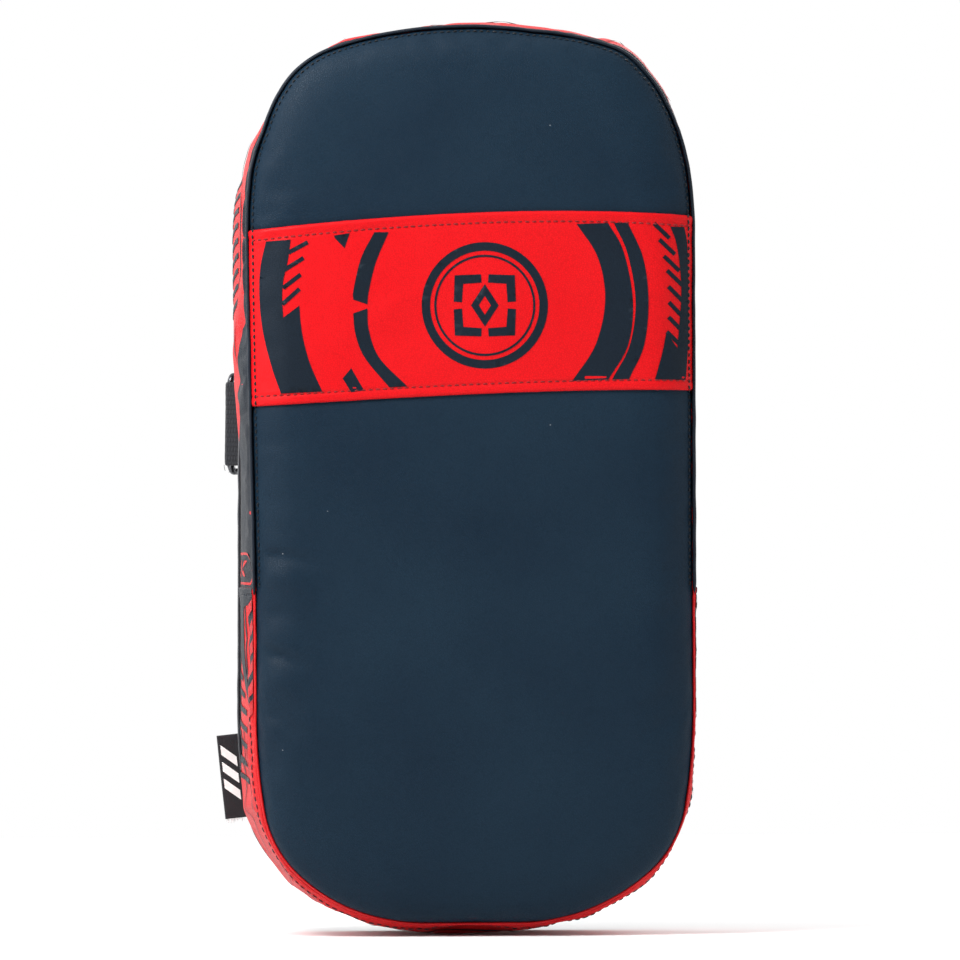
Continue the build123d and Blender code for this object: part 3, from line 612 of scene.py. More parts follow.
def stitches(path, normals, pitch=3.4, long=2.5, radius=0.36, proud=0.30, skip=(), jitter=0.06, slant=0.0):
    """Thread along a path: one lens-shaped stitch per pitch, its ends sunk in the leather. Returns points and faces."""
    path, normals = np.asarray(path, float), np.asarray(normals, float)
    s = np.concatenate([[0], np.cumsum(np.linalg.norm(np.diff(path, axis=0), axis=1))])
    count = max(1, int(round(s[-1] / pitch)))
    at = (np.arange(count) + 0.5) * s[-1] / count
    get = lambda q, src: np.stack([np.interp(q, s, src[:, k]) for k in range(3)], -1)
    c, a, b = get(at, path), get(at - long / 2, path), get(at + long / 2, path)
    t = b - a
    t /= np.maximum(np.linalg.norm(t, axis=1, keepdims=True), 1e-9)
    n = get(at, normals)
    n -= (n * t).sum(1, keepdims=True) * t
    n /= np.maximum(np.linalg.norm(n, axis=1, keepdims=True), 1e-9)
    side = np.cross(n, t)
    if slant:
        t = t * math.cos(slant) + side * math.sin(slant)
        side = np.cross(n, t)
    x, y, z = TEMPLATE.T
    lengths = long * (1 + jitter * RNG.standard_normal(count))
    bow = proud * (1 - x ** 2 * 1.7)
    verts = (c[:, None] + t[:, None] * (x[None, :, None] * lengths[:, None, None] / 2) + side[:, None] * (radius * y)[None, :, None]
             + n[:, None] * (radius * z * 0.85 + bow)[None, :, None])
    faces = [tuple(k * 30 + i for i in f) for k in range(count) for f in TFACES]
    return verts.reshape(-1, 3), faces


def gather(parts):
    """Joins several (points, faces) into one."""
    verts, faces, k = [], [], 0
    for v, f in parts:
        verts.append(v)
        faces += [tuple(i + k for i in x) for x in f]
        k += len(v)
    return np.vstack(verts), faces


class Surface:
    """Finds points on a mesh by looking at it along an axis."""

    def __init__(self, verts, faces):
        self.tree = BVHTree.FromPolygons([tuple(v) for v in verts], [tuple(f) for f in faces])

    def along(self, starts, direction, default=None):
        d = Vector(direction)
        pts, nor = [], []
        for s in starts:
            hit, n, _, _ = self.tree.ray_cast(Vector(s), d)
            if hit is None:
                hit, n, _, _ = self.tree.find_nearest(Vector(s) + d * 40)
            if n.dot(d) > 0:
                n = -n
            pts.append(tuple(hit)); nor.append(tuple(n))
        return np.array(pts), np.array(nor)


def inside(pts, loops):
    """Even-odd test of points against closed loops."""
    hit = np.zeros(len(pts), bool)
    for lp in loops:
        a, b = np.asarray(lp, float), np.roll(np.asarray(lp, float), -1, axis=0)
        for (x0, y0), (x1, y1) in zip(a, b):
            if y0 == y1:
                continue
            cross = ((y0 > pts[:, 1]) != (y1 > pts[:, 1])) & (pts[:, 0] < (x1 - x0) * (pts[:, 1] - y0) / (y1 - y0) + x0)
            hit ^= cross
    return hit


def smooth_loop(pts, step=1.6, corners=()):
    """A closed loop through points, with dense points along it."""
    p = np.asarray(pts, float)
    out = []
    for a, b in zip(p, np.roll(p, -1, axis=0)):
        n = max(1, int(math.ceil(np.linalg.norm(b - a) / step)))
        for i in range(n):
            out.append(a + (b - a) * i / n)
    return np.array(out)


def curve_through(pts, n):
    """Catmull-Rom line through points."""
    p = np.asarray(pts, float)
    q = np.vstack([2 * p[0] - p[1], p, 2 * p[-1] - p[-2]])
    out = []
    seg = len(p) - 1
    for t in np.linspace(0, seg, n):
        i = min(int(t), seg - 1)
        f = t - i
        a, b, c, d = q[i], q[i + 1], q[i + 2], q[i + 3]
        out.append(0.5 * ((2 * b) + (c - a) * f + (2 * a - 5 * b + 4 * c - d) * f ** 2 + (3 * b - a - 3 * c + d) * f ** 3))
    return np.array(out)


def cut_shape(loops, step=2.6, edge=1.5):
    """A triangle mesh in the plane that fills the loops, even-odd, with crisp edges."""
    pts, edges = [], []
    for lp in loops:
        d = smooth_loop(lp, edge)
        k = len(pts)
        pts += [Vector(p) for p in d]
        edges += [(k + i, k + (i + 1) % len(d)) for i in range(len(d))]
    allp = np.array([tuple(p) for p in pts])
    lo_, hi_ = allp.min(0), allp.max(0)
    gx, gy = np.meshgrid(np.arange(lo_[0] + step / 2, hi_[0], step), np.arange(lo_[1] + step / 2, hi_[1], step))
    grid = np.stack([gx.ravel(), gy.ravel()], -1)
    if len(grid):
        grid = grid[inside(grid, loops)]
        if len(grid):
            far = np.array([np.sqrt(((allp - g) ** 2).sum(1)).min() > step * 0.45 for g in grid])
            pts += [Vector(g) for g in grid[far]]
    v, _, f, *_ = delaunay_2d_cdt(pts, edges, [], 0, 1e-5)
    v = np.array([tuple(p) for p in v])
    tri = np.array([tuple(x) for x in f if len(x) == 3])
    keep = inside(v[tri].mean(1), loops)
    tri = tri[keep]
    used, idx = np.unique(tri, return_inverse=True)
    return v[used], [tuple(x) for x in idx.reshape(-1, 3)]

# ================================================================ cover: one closed form, simulated, then cut into its panels
N = 424
S0 = np.arange(N) / N * LENGTH
LOOP, LOOPN = on_outline(S0)
DS = np.array([0, 0.5, 1.2, 2.2, 3.6, 5.6, 8.2, 11.5, 15.5, 20.0, 25.0])
CROWN_T = [0, 0.5, 1.2, 2.2, 3.6, 5.6, 8.2, 11.5, 15.5, 20.0, 25.0, 40.0, 90.0]
CROWN_H = [0, 2.0, 3.6, 5.0, 6.3, 7.4, 8.35, 9.1, 9.65, 10.0, 10.25, 10.6, 11.0]
CORNER = round(94.0 / LENGTH * N)
flat, front_faces, rows = field(LOOP, LOOPN, DS, CORNER)
flat = relax(flat, front_faces, rows < 0, 10)
front_dist = np.where(rows >= 0, DS[np.maximum(rows, 0)], 0.0)
free = rows < 0
front_dist[free] = np.maximum(outline_distance(flat[free, 0], flat[free, 1]), 25.0)
front = np.stack([flat[:, 0], SEAM_FRONT - np.interp(front_dist, CROWN_T, CROWN_H), flat[:, 1]], -1)
front_faces = face_out(front, front_faces, (0, -1, 0))

GY = np.array([-43.5, -42.3, -40.5, -38.0, -34.8, -31.0, -26.5, -21.0, -15.0, -8.5, -2.0, 5.0, 12.0, 18.5, 24.0, 28.5, 32.0, 34.5, 36.0])
GD = np.array([1.0, 1.8, 2.6, 3.3, 3.9, 4.35, 4.7, 4.95, 5.15, 5.3, 5.35, 5.3, 5.1, 4.75, 4.2, 3.5, 2.8, 2.1, 1.5])
GT = np.arange(len(GY))


def bulge(s, t):
    """How far the side wall stands outside the outline, at arc lengths s and rows t."""
    _, n = on_outline(s)
    k = (1.0 * np.minimum(n[..., 0], 0) ** 2 + 0.74 * np.maximum(n[..., 0], 0) ** 2
         + 0.84 * np.maximum(n[..., 1], 0) ** 2 + 1.18 * np.minimum(n[..., 1], 0) ** 2
         + 1.1 * np.minimum(n[..., 0], 0) * np.maximum(n[..., 1], 0) + 0.9 * np.maximum(n[..., 0], 0) * np.maximum(n[..., 1], 0))
    d = 1.0 + (np.interp(t, GT, GD) - 1.0) * k
    return np.minimum(d, 6.0)


ss, tt = np.meshgrid(S0, GT, indexing="ij")
wall_d = bulge(ss, tt)
gp, gn = on_outline(ss)
slack = 1.0 * np.sin(np.clip((tt - 0.0) / (len(GY) - 1), 0, 1) * math.pi) ** 0.6
wall = np.stack([gp[..., 0] + gn[..., 0] * wall_d, np.interp(tt, GT, GY), gp[..., 1] + gn[..., 1] * wall_d], -1)
wall_start = wall - np.stack([gn[..., 0], 0 * gn[..., 0], gn[..., 1]], -1) * slack[..., None]
nf, nr = len(front), len(GY)
start = np.vstack([front, wall_start.reshape(-1, 3), [[0.0, SEAM_REAR, 200.0]]])
gid = lambda i, j: nf + (i % N) * nr + j
shell = list(front_faces)
shell += [(i, (i + 1) % N, gid(i + 1, 0), gid(i, 0)) for i in range(N)]
wall_faces = [(gid(i, j), gid(i + 1, j), gid(i + 1, j + 1), gid(i, j + 1)) for i in range(N) for j in range(nr - 1)]
shell += wall_faces
shell += [(gid(i, nr - 1), gid(i + 1, nr - 1), len(start) - 1) for i in range(N)]
pinned = np.zeros(len(start), bool)
pinned[:N] = True
pinned[-1] = True
for i in range(N):
    pinned[gid(i, 0)] = pinned[gid(i, nr - 1)] = True
moved = simulate(start, shell, pinned, pressure=4.0, frames=18, cap=2.2, shrink=-0.012, tension=16.0, bending=1.2)
delta = moved - start
WALL_D = np.zeros((N, nr, 3))
WALL_D = (moved[nf:-1].reshape(N, nr, 3) - wall_start)
target = np.median(np.linalg.norm(WALL_D[:, nr // 2], axis=1))
WALL_D = WALL_D - np.stack([gn[..., 0], 0 * gn[..., 0], gn[..., 1]], -1) * (slack * min(1.6, target))[..., None]
front = front + 0.5 * delta[:nf]

# Creases where the cover is slack, and shallow unevenness of the foam under it.
LEFT_FOLDS = [(-97, -66, 163.8, 161.5, 2.1, -0.80), (-99, -70, 156.5, 148.0, 4.6, 0.60), (-98, -84, 141.0, 137.5, 2.1, -0.45),
              (-99, -79, 131.0, 122.0, 4.2, 0.55), (-99, -72, 124.0, 110.0, 2.1, -1.0), (-99, -80, 113.5, 102.5, 4.2, 0.5),
              (-98, -86, 97.0, 91.0, 2.4, -0.40), (-97, -87, 88.0, 84.0, 3.6, 0.3)]
BAND_FOLDS = [(-64, 255, -10, 291, 4.6, 0.55), (-50, 248, 2, 276, 4.2, -0.42), (-30, 246, 30, 262, 4.0, 0.30), (44, 262, 84, 250, 4.4, 0.28),
              (-88, 262, -60, 288, 3.6, -0.3), (50, 292, 88, 280, 4.2, -0.22)]
RIGHT_FOLDS = [(99, 88, 176.0, 171.0, 3.0, -0.22), (99, 86, 128.0, 122.0, 3.4, -0.25), (98, 87, 92.0, 88.0, 3.0, 0.2)]


def folds(x, w):
    h = np.zeros(len(x))
    for x0, x1, w0, w1, r, a in LEFT_FOLDS + RIGHT_FOLDS:
        t = (x - x0) / (x1 - x0)
        line = w0 + (w1 - w0) * np.clip(t, 0, 1) + 1.1 * np.sin(np.clip(t, 0, 1) * 5.0 + w0)
        fade = np.where(t < 0, 1.0, np.cos(np.clip(t, 0, 1) * math.pi / 2) ** 1.3)
        h += a * fade * np.exp(-((w - line) / r) ** 2)
    h = h * 3.4
    for x0, w0, x1, w1, r, a in BAND_FOLDS:
        dx, dw = x1 - x0, w1 - w0
        size = math.hypot(dx, dw)
        t = ((x - x0) * dx + (w - w0) * dw) / size ** 2
        off = ((x - x0) * dw - (w - w0) * dx) / size + 1.5 * np.sin(t * 4.0)
        h += a * np.sin(np.clip(t, 0, 1) * math.pi) ** 1.2 * np.exp(-(off / r) ** 2)
    return h


fn = normals_of(front, front_faces)
if fn[len(fn) // 2][1] > 0:
    fn = -fn
edge_fade = np.clip(front_dist / 3.0, 0, 1)
uneven = 0.42 * fbm(front, 62.0, 2, 3.1) + 0.16 * fbm(front, 19.0, 2, 8.2) * np.exp(-front_dist / 40.0)
pucker = 0.16 * np.exp(-((front_dist - 5.0) / 5.0) ** 2) * fbm(front * [1, 0.2, 1], 6.5, 1, 1.7)
front = front + fn * ((uneven + pucker) * edge_fade + folds(front[:, 0], front[:, 2]) * ease(front_dist / 9.0))[:, None]


def cut(verts, faces, q, back, planes, low=None, high=None):
    """Cuts the mesh along lines of constant q. q replaces the height; back turns it into a height again."""
    bm = bmesh.new()
    made = [bm.verts.new((v[0], v[1], h)) for v, h in zip(verts, q)]
    for f in faces:
        bm.faces.new([made[i] for i in f])
    for h, inner, outer in [(low, True, False), (high, False, True)] + [(p, False, False) for p in planes]:
        if h is None:
            continue
        bmesh.ops.bisect_plane(bm, geom=bm.verts[:] + bm.edges[:] + bm.faces[:], dist=1e-4, plane_co=(0, 0, h), plane_no=(0, 0, 1),
                               clear_inner=inner, clear_outer=outer)
    bm.verts.index_update()
    co = np.array([tuple(v.co) for v in bm.verts])
    fs = [tuple(v.index for v in f.verts) for f in bm.faces]
    bm.free()
    out = co.copy()
    out[:, 2] = back(co[:, 0], co[:, 2])
    return out, fs, co[:, 2]


BAND_H = 79.0
band_q = (front[:, 2] - band_low(front[:, 0])) / (band_top(front[:, 0]) - band_low(front[:, 0])) * BAND_H
band_v, band_f, bq = cut(front, front_faces, band_q, lambda x, q: band_low(x) + q / BAND_H * (band_top(x) - band_low(x)),
                         [0.3, 0.9, 1.8, 3.4, 4.5, 5.6, 7.6, BAND_H - 7.9, BAND_H - 6.0, BAND_H - 4.9, BAND_H - 3.8, BAND_H - 1.8, BAND_H - 0.9, BAND_H - 0.3],
                         0.0, BAND_H)
edge_q = np.minimum(bq, BAND_H - bq)
band_rise = np.interp(edge_q, [0, 0.3, 0.9, 1.8, 3.4, 4.5, 5.6, 7.6, 40], [-0.35, 0.70, 1.15, 1.32, 1.18, 0.72, 1.12, 1.0, 0.92])
bn = normals_of(band_v, band_f)
if bn[len(bn) // 2][1] > 0:
    bn = -bn
ripple = 0.10 * np.array([noise.noise(Vector((v[0] / 4.2, 1.3, v[2] / 9.0))) for v in band_v]) * np.exp(-((edge_q - 4.0) / 4.0) ** 2)
band_v = band_v + bn * (band_rise + ripple)[:, None]

upper_q = front[:, 2] - band_top(front[:, 0])
up_v, up_f, uq = cut(front, front_faces, upper_q, lambda x, q: band_top(x) + q, [0.0, 0.8, 2.0, 4.0, 7.0], -4.5, None)
un = normals_of(up_v, up_f); un = -un if un[len(un) // 2][1] > 0 else un
up_v = up_v - un * (0.5 * np.exp(-np.maximum(uq, 0) / 2.6))[:, None]
lower_q = front[:, 2] - band_low(front[:, 0])
lo_v, lo_f, lq = cut(front, front_faces, lower_q, lambda x, q: band_low(x) + q, [0.0, -0.8, -2.0, -4.0, -7.0], None, 4.5)
ln_ = normals_of(lo_v, lo_f); ln_ = -ln_ if ln_[len(ln_) // 2][1] > 0 else ln_
lo_v = lo_v - ln_ * (0.5 * np.exp(-np.maximum(-lq, 0) / 2.6))[:, None]

panel_upper = piece("cover_front_upper", up_v, up_f, NAVY, "pad", solid=1.2, sub=1)
panel_band = piece("cover_front_band", band_v, band_f, RED, "pad", solid=1.2, sub=1)
panel_lower = piece("cover_front_lower", lo_v, lo_f, NAVY, "pad", solid=1.2, sub=1)
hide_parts("front_panel_upper")
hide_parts("front_band")
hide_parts("front_panel_lower", "strike_foam", "core_foam", "backing_foam")

FRONT = Surface(*gather([(up_v, up_f), (band_v, band_f), (lo_v, lo_f)]))
BAND = Surface(band_v, band_f)


def on_front(xw, surface=FRONT):
    return surface.along([(x, -90.0, w) for x, w in xw], (0, 1, 0))


# ---------------------------------------------------------------- stitching of the face
ring_s = np.linspace(0, LENGTH, 1100)
rp, rn = on_outline(np.linspace(s_at(150.0, False), s_at(150.0, True), 900))
seam_p, seam_n = on_front(rp - rn * 1.7)
sv, sf = stitches(seam_p, seam_n, pitch=3.0, long=2.15, radius=0.50, proud=0.32)
o = piece("stitches_face_edge", sv, sf, THREAD_SEAM, "pad")
bx = np.linspace(-98.3, 98.3, 260)
parts = []
for line in (band_low(bx) + 4.5, band_top(bx) - 4.9):
    p, n = on_front(np.stack([bx, line], -1), BAND)
    parts.append(stitches(p, n, pitch=3.2, long=2.45, radius=0.36, proud=0.34))
sv, sf = gather(parts)
piece("stitches_band", sv, sf, THREAD_RED, "pad")

# ---------------------------------------------------------------- print on the band
def flat_print(name, loops, mat, lift=0.16, surface=None, step=2.4):
    v, f = cut_shape(loops, step)
    p, n = on_front(v, surface or BAND)
    f = face_out(p, f, (0, -1, 0))
    return piece(name, p + n * lift, f, mat, "pad")


def bar(a, b, width, skew=0.0):
    a, b = np.array(a, float), np.array(b, float)
    d = (b - a) / np.linalg.norm(b - a)
    n = np.array([-d[1], d[0]]) * width / 2
    return [a - n, b - n, b + n, a + n]


def crescent(outer, inner, n=40):
    """A closed shape between two smooth lines that run the same way."""
    return np.vstack([curve_through(outer, n), curve_through(inner, n)[::-1]])


flat_print("print_left_crescent", [np.vstack([
    curve_through([(-92, 304.6), (-94.6, 293), (-95.2, 279), (-94.0, 264.5), (-90.6, 249), (-86.6, 236.8)], 40),
    curve_through([(-67.2, 237.6), (-73, 250.5), (-76.4, 264), (-77.4, 276)], 24),
    curve_through([(-84.9, 270.6), (-85.2, 280), (-84.4, 288), (-82.4, 296), (-81.0, 305.4)], 24)])], INK)
for k, (a, b) in enumerate([((-82.0, 299.6), (-73.2, 304.2)), ((-84.2, 291.8), (-75.2, 297.2)), ((-84.8, 283.8), (-76.6, 289.8)),
                            ((-85.2, 276.6), (-77.2, 283.4))]):
    flat_print(f"print_left_hatch_{k}", [bar(a, b, 1.9)], INK, 0.17)
flat_print("print_left_wedge", [[(-61.2, 307.2), (-54, 308.2), (-56.4, 301.5), (-60.8, 306)]], INK)
flat_print("print_left_tip", [[(-57.6, 243.4), (-53.6, 248), (-47.8, 238.0), (-53.6, 237.2)]], INK)
flat_print("print_arc_b", [crescent([(-43, 308.6), (-49, 297), (-52.4, 283), (-52.6, 278.6)], [(-36.6, 308.6), (-42.4, 295), (-45.6, 282), (-46.2, 276.4)], 24)], INK)
flat_print("print_arc_b_low", [crescent([(-52.6, 272.4), (-51.6, 263), (-47.4, 252.5), (-36.6, 239.4)], [(-46.2, 274.6), (-45.6, 265), (-41, 252.6), (-28.6, 239.8)], 24)], INK)
flat_print("print_arc_c", [crescent([(61.4, 312.4), (68.2, 300), (72.4, 278), (70.2, 258), (61.4, 242.6)], [(47.4, 312.0), (56.8, 297), (60, 278), (55.6, 258), (45.2, 242.0)])], INK)
flat_print("print_arc_d", [crescent([(70.2, 312.6), (77, 297), (79.4, 278), (77.4, 258), (70.6, 242.8)], [(64, 312.4), (70, 299), (73.6, 278), (71.0, 258), (63.0, 242.6)])], INK)
flat_print("print_right_field", [np.vstack([
    curve_through([(89.4, 310.8), (92.2, 303), (94.0, 289.5), (94.2, 277.5), (92.4, 256.5)], 30),
    curve_through([(87.4, 263.6), (85.4, 254), (82.2, 242.6)], 14),
    curve_through([(96.2, 242.4), (97.4, 258), (97.6, 280), (97.2, 302), (95.8, 310.6)], 30)])], INK)
for k, (x, w) in enumerate([(82.0, 312.2), (84.4, 305.0), (86.4, 297.6), (87.8, 291.2), (88.4, 284.0), (88.6, 277.0), (88.4, 270.4), (87.6, 263.8)]):
    flat_print(f"print_right_hatch_{k}", [bar((x, w), (min(x + 7.0, 95.0), w - 6.6), 1.9)], INK, 0.17)

# A plain geometric badge: two rings, four chevrons and a diamond.
BX, BW = 6.2, 275.8


def ring_loop(r, n=72, turn=0.0):
    return [(BX + r * math.cos(2 * math.pi * i / n + turn), BW + r * math.sin(2 * math.pi * i / n + turn)) for i in range(n)]


flat_print("print_badge_ring", [ring_loop(28.2), ring_loop(24.4)], INK)
flat_print("print_badge_inner_ring", [ring_loop(22.6), ring_loop(21.6)], INK)
flat_print("print_badge_diamond", [[(BX, BW - 9.5), (BX + 6.2, BW), (BX, BW + 9.5), (BX - 6.2, BW)],
                                   [(BX, BW - 4.2), (BX + 2.7, BW), (BX, BW + 4.2), (BX - 2.7, BW)]], INK)
for k in range(4):
    t = math.pi / 2 * k + math.pi / 4
    c, s_ = math.cos(t), math.sin(t)
    turn = lambda p: (BX + p[0] * c - p[1] * s_, BW + p[0] * s_ + p[1] * c)
    flat_print(f"print_badge_chevron_{k}", [[turn(p) for p in ((19.0, 0), (11.0, 8.6), (8.2, 6.2), (13.6, 0), (8.2, -6.2), (11.0, -8.6))]], INK)

# ================================================================ raised lip round the face
def tube_ring(name, section, mats, body, s_from=0.0, s_to=None, n=N, wobble=0.0, uv_scale=0.001, seed=0.0, taper=0.0):
    """A closed section (d, y) carried round the outline, or along part of it with tapered ends."""
    closed = s_to is None
    sv_ = S0 if closed else np.linspace(s_from, s_to, n)
    p, nn = on_outline(sv_)
    sec = np.asarray(section, float)
    k = len(sec)
    wob = np.zeros(len(sv_))
    if wobble:
        wob = wobble * np.array([noise.noise(Vector((a[0] / 11.0, a[1] / 11.0, seed))) for a in p])
    size = np.ones(len(sv_)) if closed or not taper else np.clip(np.minimum(sv_ - s_from, s_to - sv_) / taper, 0.01, 1) ** 0.5
    sd = sec[:, 0].mean() + (sec[None, :, 0] - sec[:, 0].mean()) * size[:, None]
    sy = sec[:, 1].mean() + (sec[None, :, 1] - sec[:, 1].mean()) * size[:, None]
    x = p[:, None, 0] + nn[:, None, 0] * (sd + wob[:, None])
    w = p[:, None, 1] + nn[:, None, 1] * (sd + wob[:, None])
    y = sy + 0.5 * wob[:, None]
    verts = np.stack([x, y, w], -1).reshape(-1, 3)
    m = len(sv_)
    faces = [(i * k + j, i * k + (j + 1) % k, ((i + 1) % m) * k + (j + 1) % k, ((i + 1) % m) * k + j)
             for i in range(m if closed else m - 1) for j in range(k)]
    around = np.concatenate([[0], np.cumsum(np.linalg.norm(np.diff(sec, axis=0), axis=1))])
    uv = np.stack([np.repeat(sv_, k), np.tile(around, m)], -1) * uv_scale
    return piece(name, verts, faces, mats, body, uv=uv)


lip = [(0.72 + 0.86 * math.cos(a), -44.6 + 1.75 * math.sin(a)) for a in np.linspace(0, 2 * math.pi, 12, endpoint=False)]
o = tube_ring("cover_face_lip", lip, LIP, "pad", s_at(146.5, False), s_at(146.5, True), 420, wobble=0.20, seed=4.0, taper=5.0)
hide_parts("front_welt")
lip = [(0.42 + 0.62 * math.cos(a), -43.9 + 1.25 * math.sin(a)) for a in np.linspace(0, 2 * math.pi, 10, endpoint=False)]
tube_ring("cover_face_lip_lower", lip, RED_SIDE, "pad", s_at(150.5, True), s_at(150.5, False) + LENGTH, 260, wobble=0.16, seed=6.0, taper=5.0)

# ================================================================ side wall
def wall_point(s, y, lift=0.0):
    """Points on the side wall at arc lengths s and depths y, lifted off it."""
    s, y = np.broadcast_arrays(np.asarray(s, float), np.asarray(y, float))
    t = np.interp(y, GY, GT)
    p, n = on_outline(s)
    d = bulge(s, t)
    # slope of the wall, so that the lift is along its normal
    h = 0.35
    slope = (bulge(s, np.clip(t + h, 0, nr - 1)) - bulge(s, np.clip(t - h, 0, nr - 1))) / np.maximum(
        np.interp(np.clip(t + h, 0, nr - 1), GT, GY) - np.interp(np.clip(t - h, 0, nr - 1), GT, GY), 1e-6)
    si = np.mod(s, LENGTH) / LENGTH * N
    i0 = np.floor(si).astype(int) % N
    i1, fs = (i0 + 1) % N, (si - np.floor(si))[..., None]
    j0 = np.clip(np.floor(t).astype(int), 0, nr - 2)
    ft = (t - j0)[..., None]
    dd = ((WALL_D[i0, j0] * (1 - fs) + WALL_D[i1, j0] * fs) * (1 - ft) + (WALL_D[i0, j0 + 1] * (1 - fs) + WALL_D[i1, j0 + 1] * fs) * ft)
    base = np.stack([p[..., 0] + n[..., 0] * d, y, p[..., 1] + n[..., 1] * d], -1) + dd
    nor = np.stack([n[..., 0], -slope, n[..., 1]], -1)
    nor /= np.linalg.norm(nor, axis=-1, keepdims=True)
    return base + nor * np.asarray(lift, float)[..., None], nor


JOINT_R, JOINT_L = s_at(148.5, False), s_at(148.5, True)
WALL_Y = np.array([-43.5, -42.4, -41.2, -40.4, -39.6, -38.8, -37.4, -34.8, -31.0, -26.5, -21.0, -15.0, -8.5, -2.0, 5.0, 12.0, 18.5, 24.0, 28.5, 32.0, 34.5, 36.0])


def wall_panel(name, s, lift_at, replaces, groove):
    sg, yg = np.meshgrid(s, WALL_Y, indexing="ij")
    p, n = wall_point(sg, yg, 0.0)
    q = p.reshape(-1, 3)
    un = 0.22 * fbm(q, 26.0, 2, 5.5) + 0.10 * fbm(q * [1, 0.4, 1], 7.0, 2, 2.5)
    fade = np.clip(np.minimum(yg + 43.5, 36 - yg) / 4.0, 0, 1)
    lift = lift_at(sg) + un.reshape(sg.shape) * fade
    if groove:
        lift = lift - 0.28 * bell(yg, -39.6, 0.8)
    p = p + n * lift[..., None]
    m = len(WALL_Y)
    faces = [(i * m + j, i * m + j + 1, (i + 1) * m + j + 1, (i + 1) * m + j) for i in range(len(s) - 1) for j in range(m - 1)]
    v = p.reshape(-1, 3)
    mid = v[faces[len(faces) // 2][0]]
    faces = face_out(v, faces, n.reshape(-1, 3)[faces[len(faces) // 2][0]])
    o = piece(name, v, faces, RED_SIDE, "pad", solid=1.1, sub=1)
    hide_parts(replaces)
    return o


def near_ends(s, a, b, table):
    d = np.minimum(s - a, b - s)
    return np.interp(d, table[0], table[1])


up_s = np.concatenate([[JOINT_R, JOINT_R + 0.8, JOINT_R + 1.8, JOINT_R + 3.2], np.linspace(JOINT_R + 5.0, JOINT_L - 5.0, 280), [JOINT_L - 3.2, JOINT_L - 1.8, JOINT_L - 0.8, JOINT_L]])
wall_panel("cover_side_upper", up_s, lambda s: near_ends(s, JOINT_R, JOINT_L, ([0, 0.8, 1.8, 3.2, 6], [-0.5, -0.4, -0.25, -0.1, 0.0])), "gusset_upper", False)
low_a, low_b = JOINT_L - 1.6, JOINT_R + LENGTH + 1.6
low_s = np.concatenate([low_a + np.array([0, 0.3, 0.8, 1.6, 2.6, 3.4, 4.2, 5.6]), np.linspace(low_a + 8, low_b - 8, 190), low_b - np.array([0, 0.3, 0.8, 1.6, 2.6, 3.4, 4.2, 5.6])[::-1]])
wall_panel("cover_side_lower", low_s, lambda s: near_ends(s, low_a, low_b, ([0, 0.3, 0.8, 1.6, 2.6, 3.4, 4.2, 5.6, 9], [-0.1, 0.65, 0.95, 0.95, 0.85, 0.45, 0.7, 0.5, 0.25])), "gusset_lower", True)

LOWER_LIFT = 0.30


def wall_strip(name, s, ya, yb, mat, lift, across=2):
    """A printed strip on the side wall between two depths."""
    s = np.asarray(s, float)
    f = np.linspace(0, 1, across + 1)
    yg = np.asarray(ya)[:, None] * (1 - f) + np.asarray(yb)[:, None] * f
    sg = np.broadcast_to(s[:, None], yg.shape)
    p, n = wall_point(sg, np.clip(yg, -43.5, 36.0), 0.0)
    q = p.reshape(-1, 3)
    fade = np.clip(np.minimum(yg + 43.5, 36 - yg) / 4.0, 0, 1)
    un = (0.22 * fbm(q, 26.0, 2, 5.5) + 0.10 * fbm(q * [1, 0.4, 1], 7.0, 2, 2.5)).reshape(yg.shape) * fade
    p = p + n * (un + lift)[..., None]
    m = across + 1
    v = p.reshape(-1, 3)
    faces = [(i * m + j, i * m + j + 1, (i + 1) * m + j + 1, (i + 1) * m + j) for i in range(len(s) - 1) for j in range(m - 1)]
    faces = face_out(v, faces, n.reshape(-1, 3)[faces[len(faces) // 2][0]])
    return piece(name, v, faces, mat, "pad")


def wall_shape(loops, lift, step=3.0):
    """Points and faces of a printed shape given in arc length and depth."""
    v, f = cut_shape(loops, step, 1.6)
    p, n = wall_point(v[:, 0], v[:, 1], 0.0)
    fade = np.clip(np.minimum(v[:, 1] + 43.5, 36 - v[:, 1]) / 4.0, 0, 1)
    un = (0.22 * fbm(p, 26.0, 2, 5.5) + 0.10 * fbm(p * [1, 0.4, 1], 7.0, 2, 2.5)) * fade
    f = face_out(p, f, n[f[len(f) // 2][0]])
    return p + n * (un + lift)[:, None], f


def both(w):
    return [(s_at(w, True), -1), (s_at(w, False), 1)]


# The dark border starts narrow at the top, sweeps back below the band and covers the wall above the joint.
BORDER_W = [148.5, 192.0, 200.0, 208.0, 218.0, 230.0, 243.0, 256.0, 266.0, 269.0, 300.0, 336.0, 352.0, 400.0]
BORDER_Y = [35.5, 35.5, 31.0, 16.0, -4.0, -18.0, -27.0, -32.0, -35.0, -39.6, -40.4, -41.0, -41.4, -41.8]
bs = np.linspace(JOINT_R + 0.2, JOINT_L - 0.2, 520)
bw = on_outline(bs)[0][:, 1]
wall_strip("print_side_border", bs, np.full(len(bs), -43.4), np.interp(bw, BORDER_W, BORDER_Y), INK_SIDE, 0.20, 24)
ps = np.linspace(s_at(247.0, False), s_at(247.0, True), 420)
pw = on_outline(ps)[0][:, 1]
thin = np.clip((pw - 247) / 8, 0.05, 1)
wall_strip("print_side_pinstripe", ps, np.full(len(ps), -26.8), -26.8 + 1.3 * thin, INK_SIDE, 0.22, 2)
parts = []
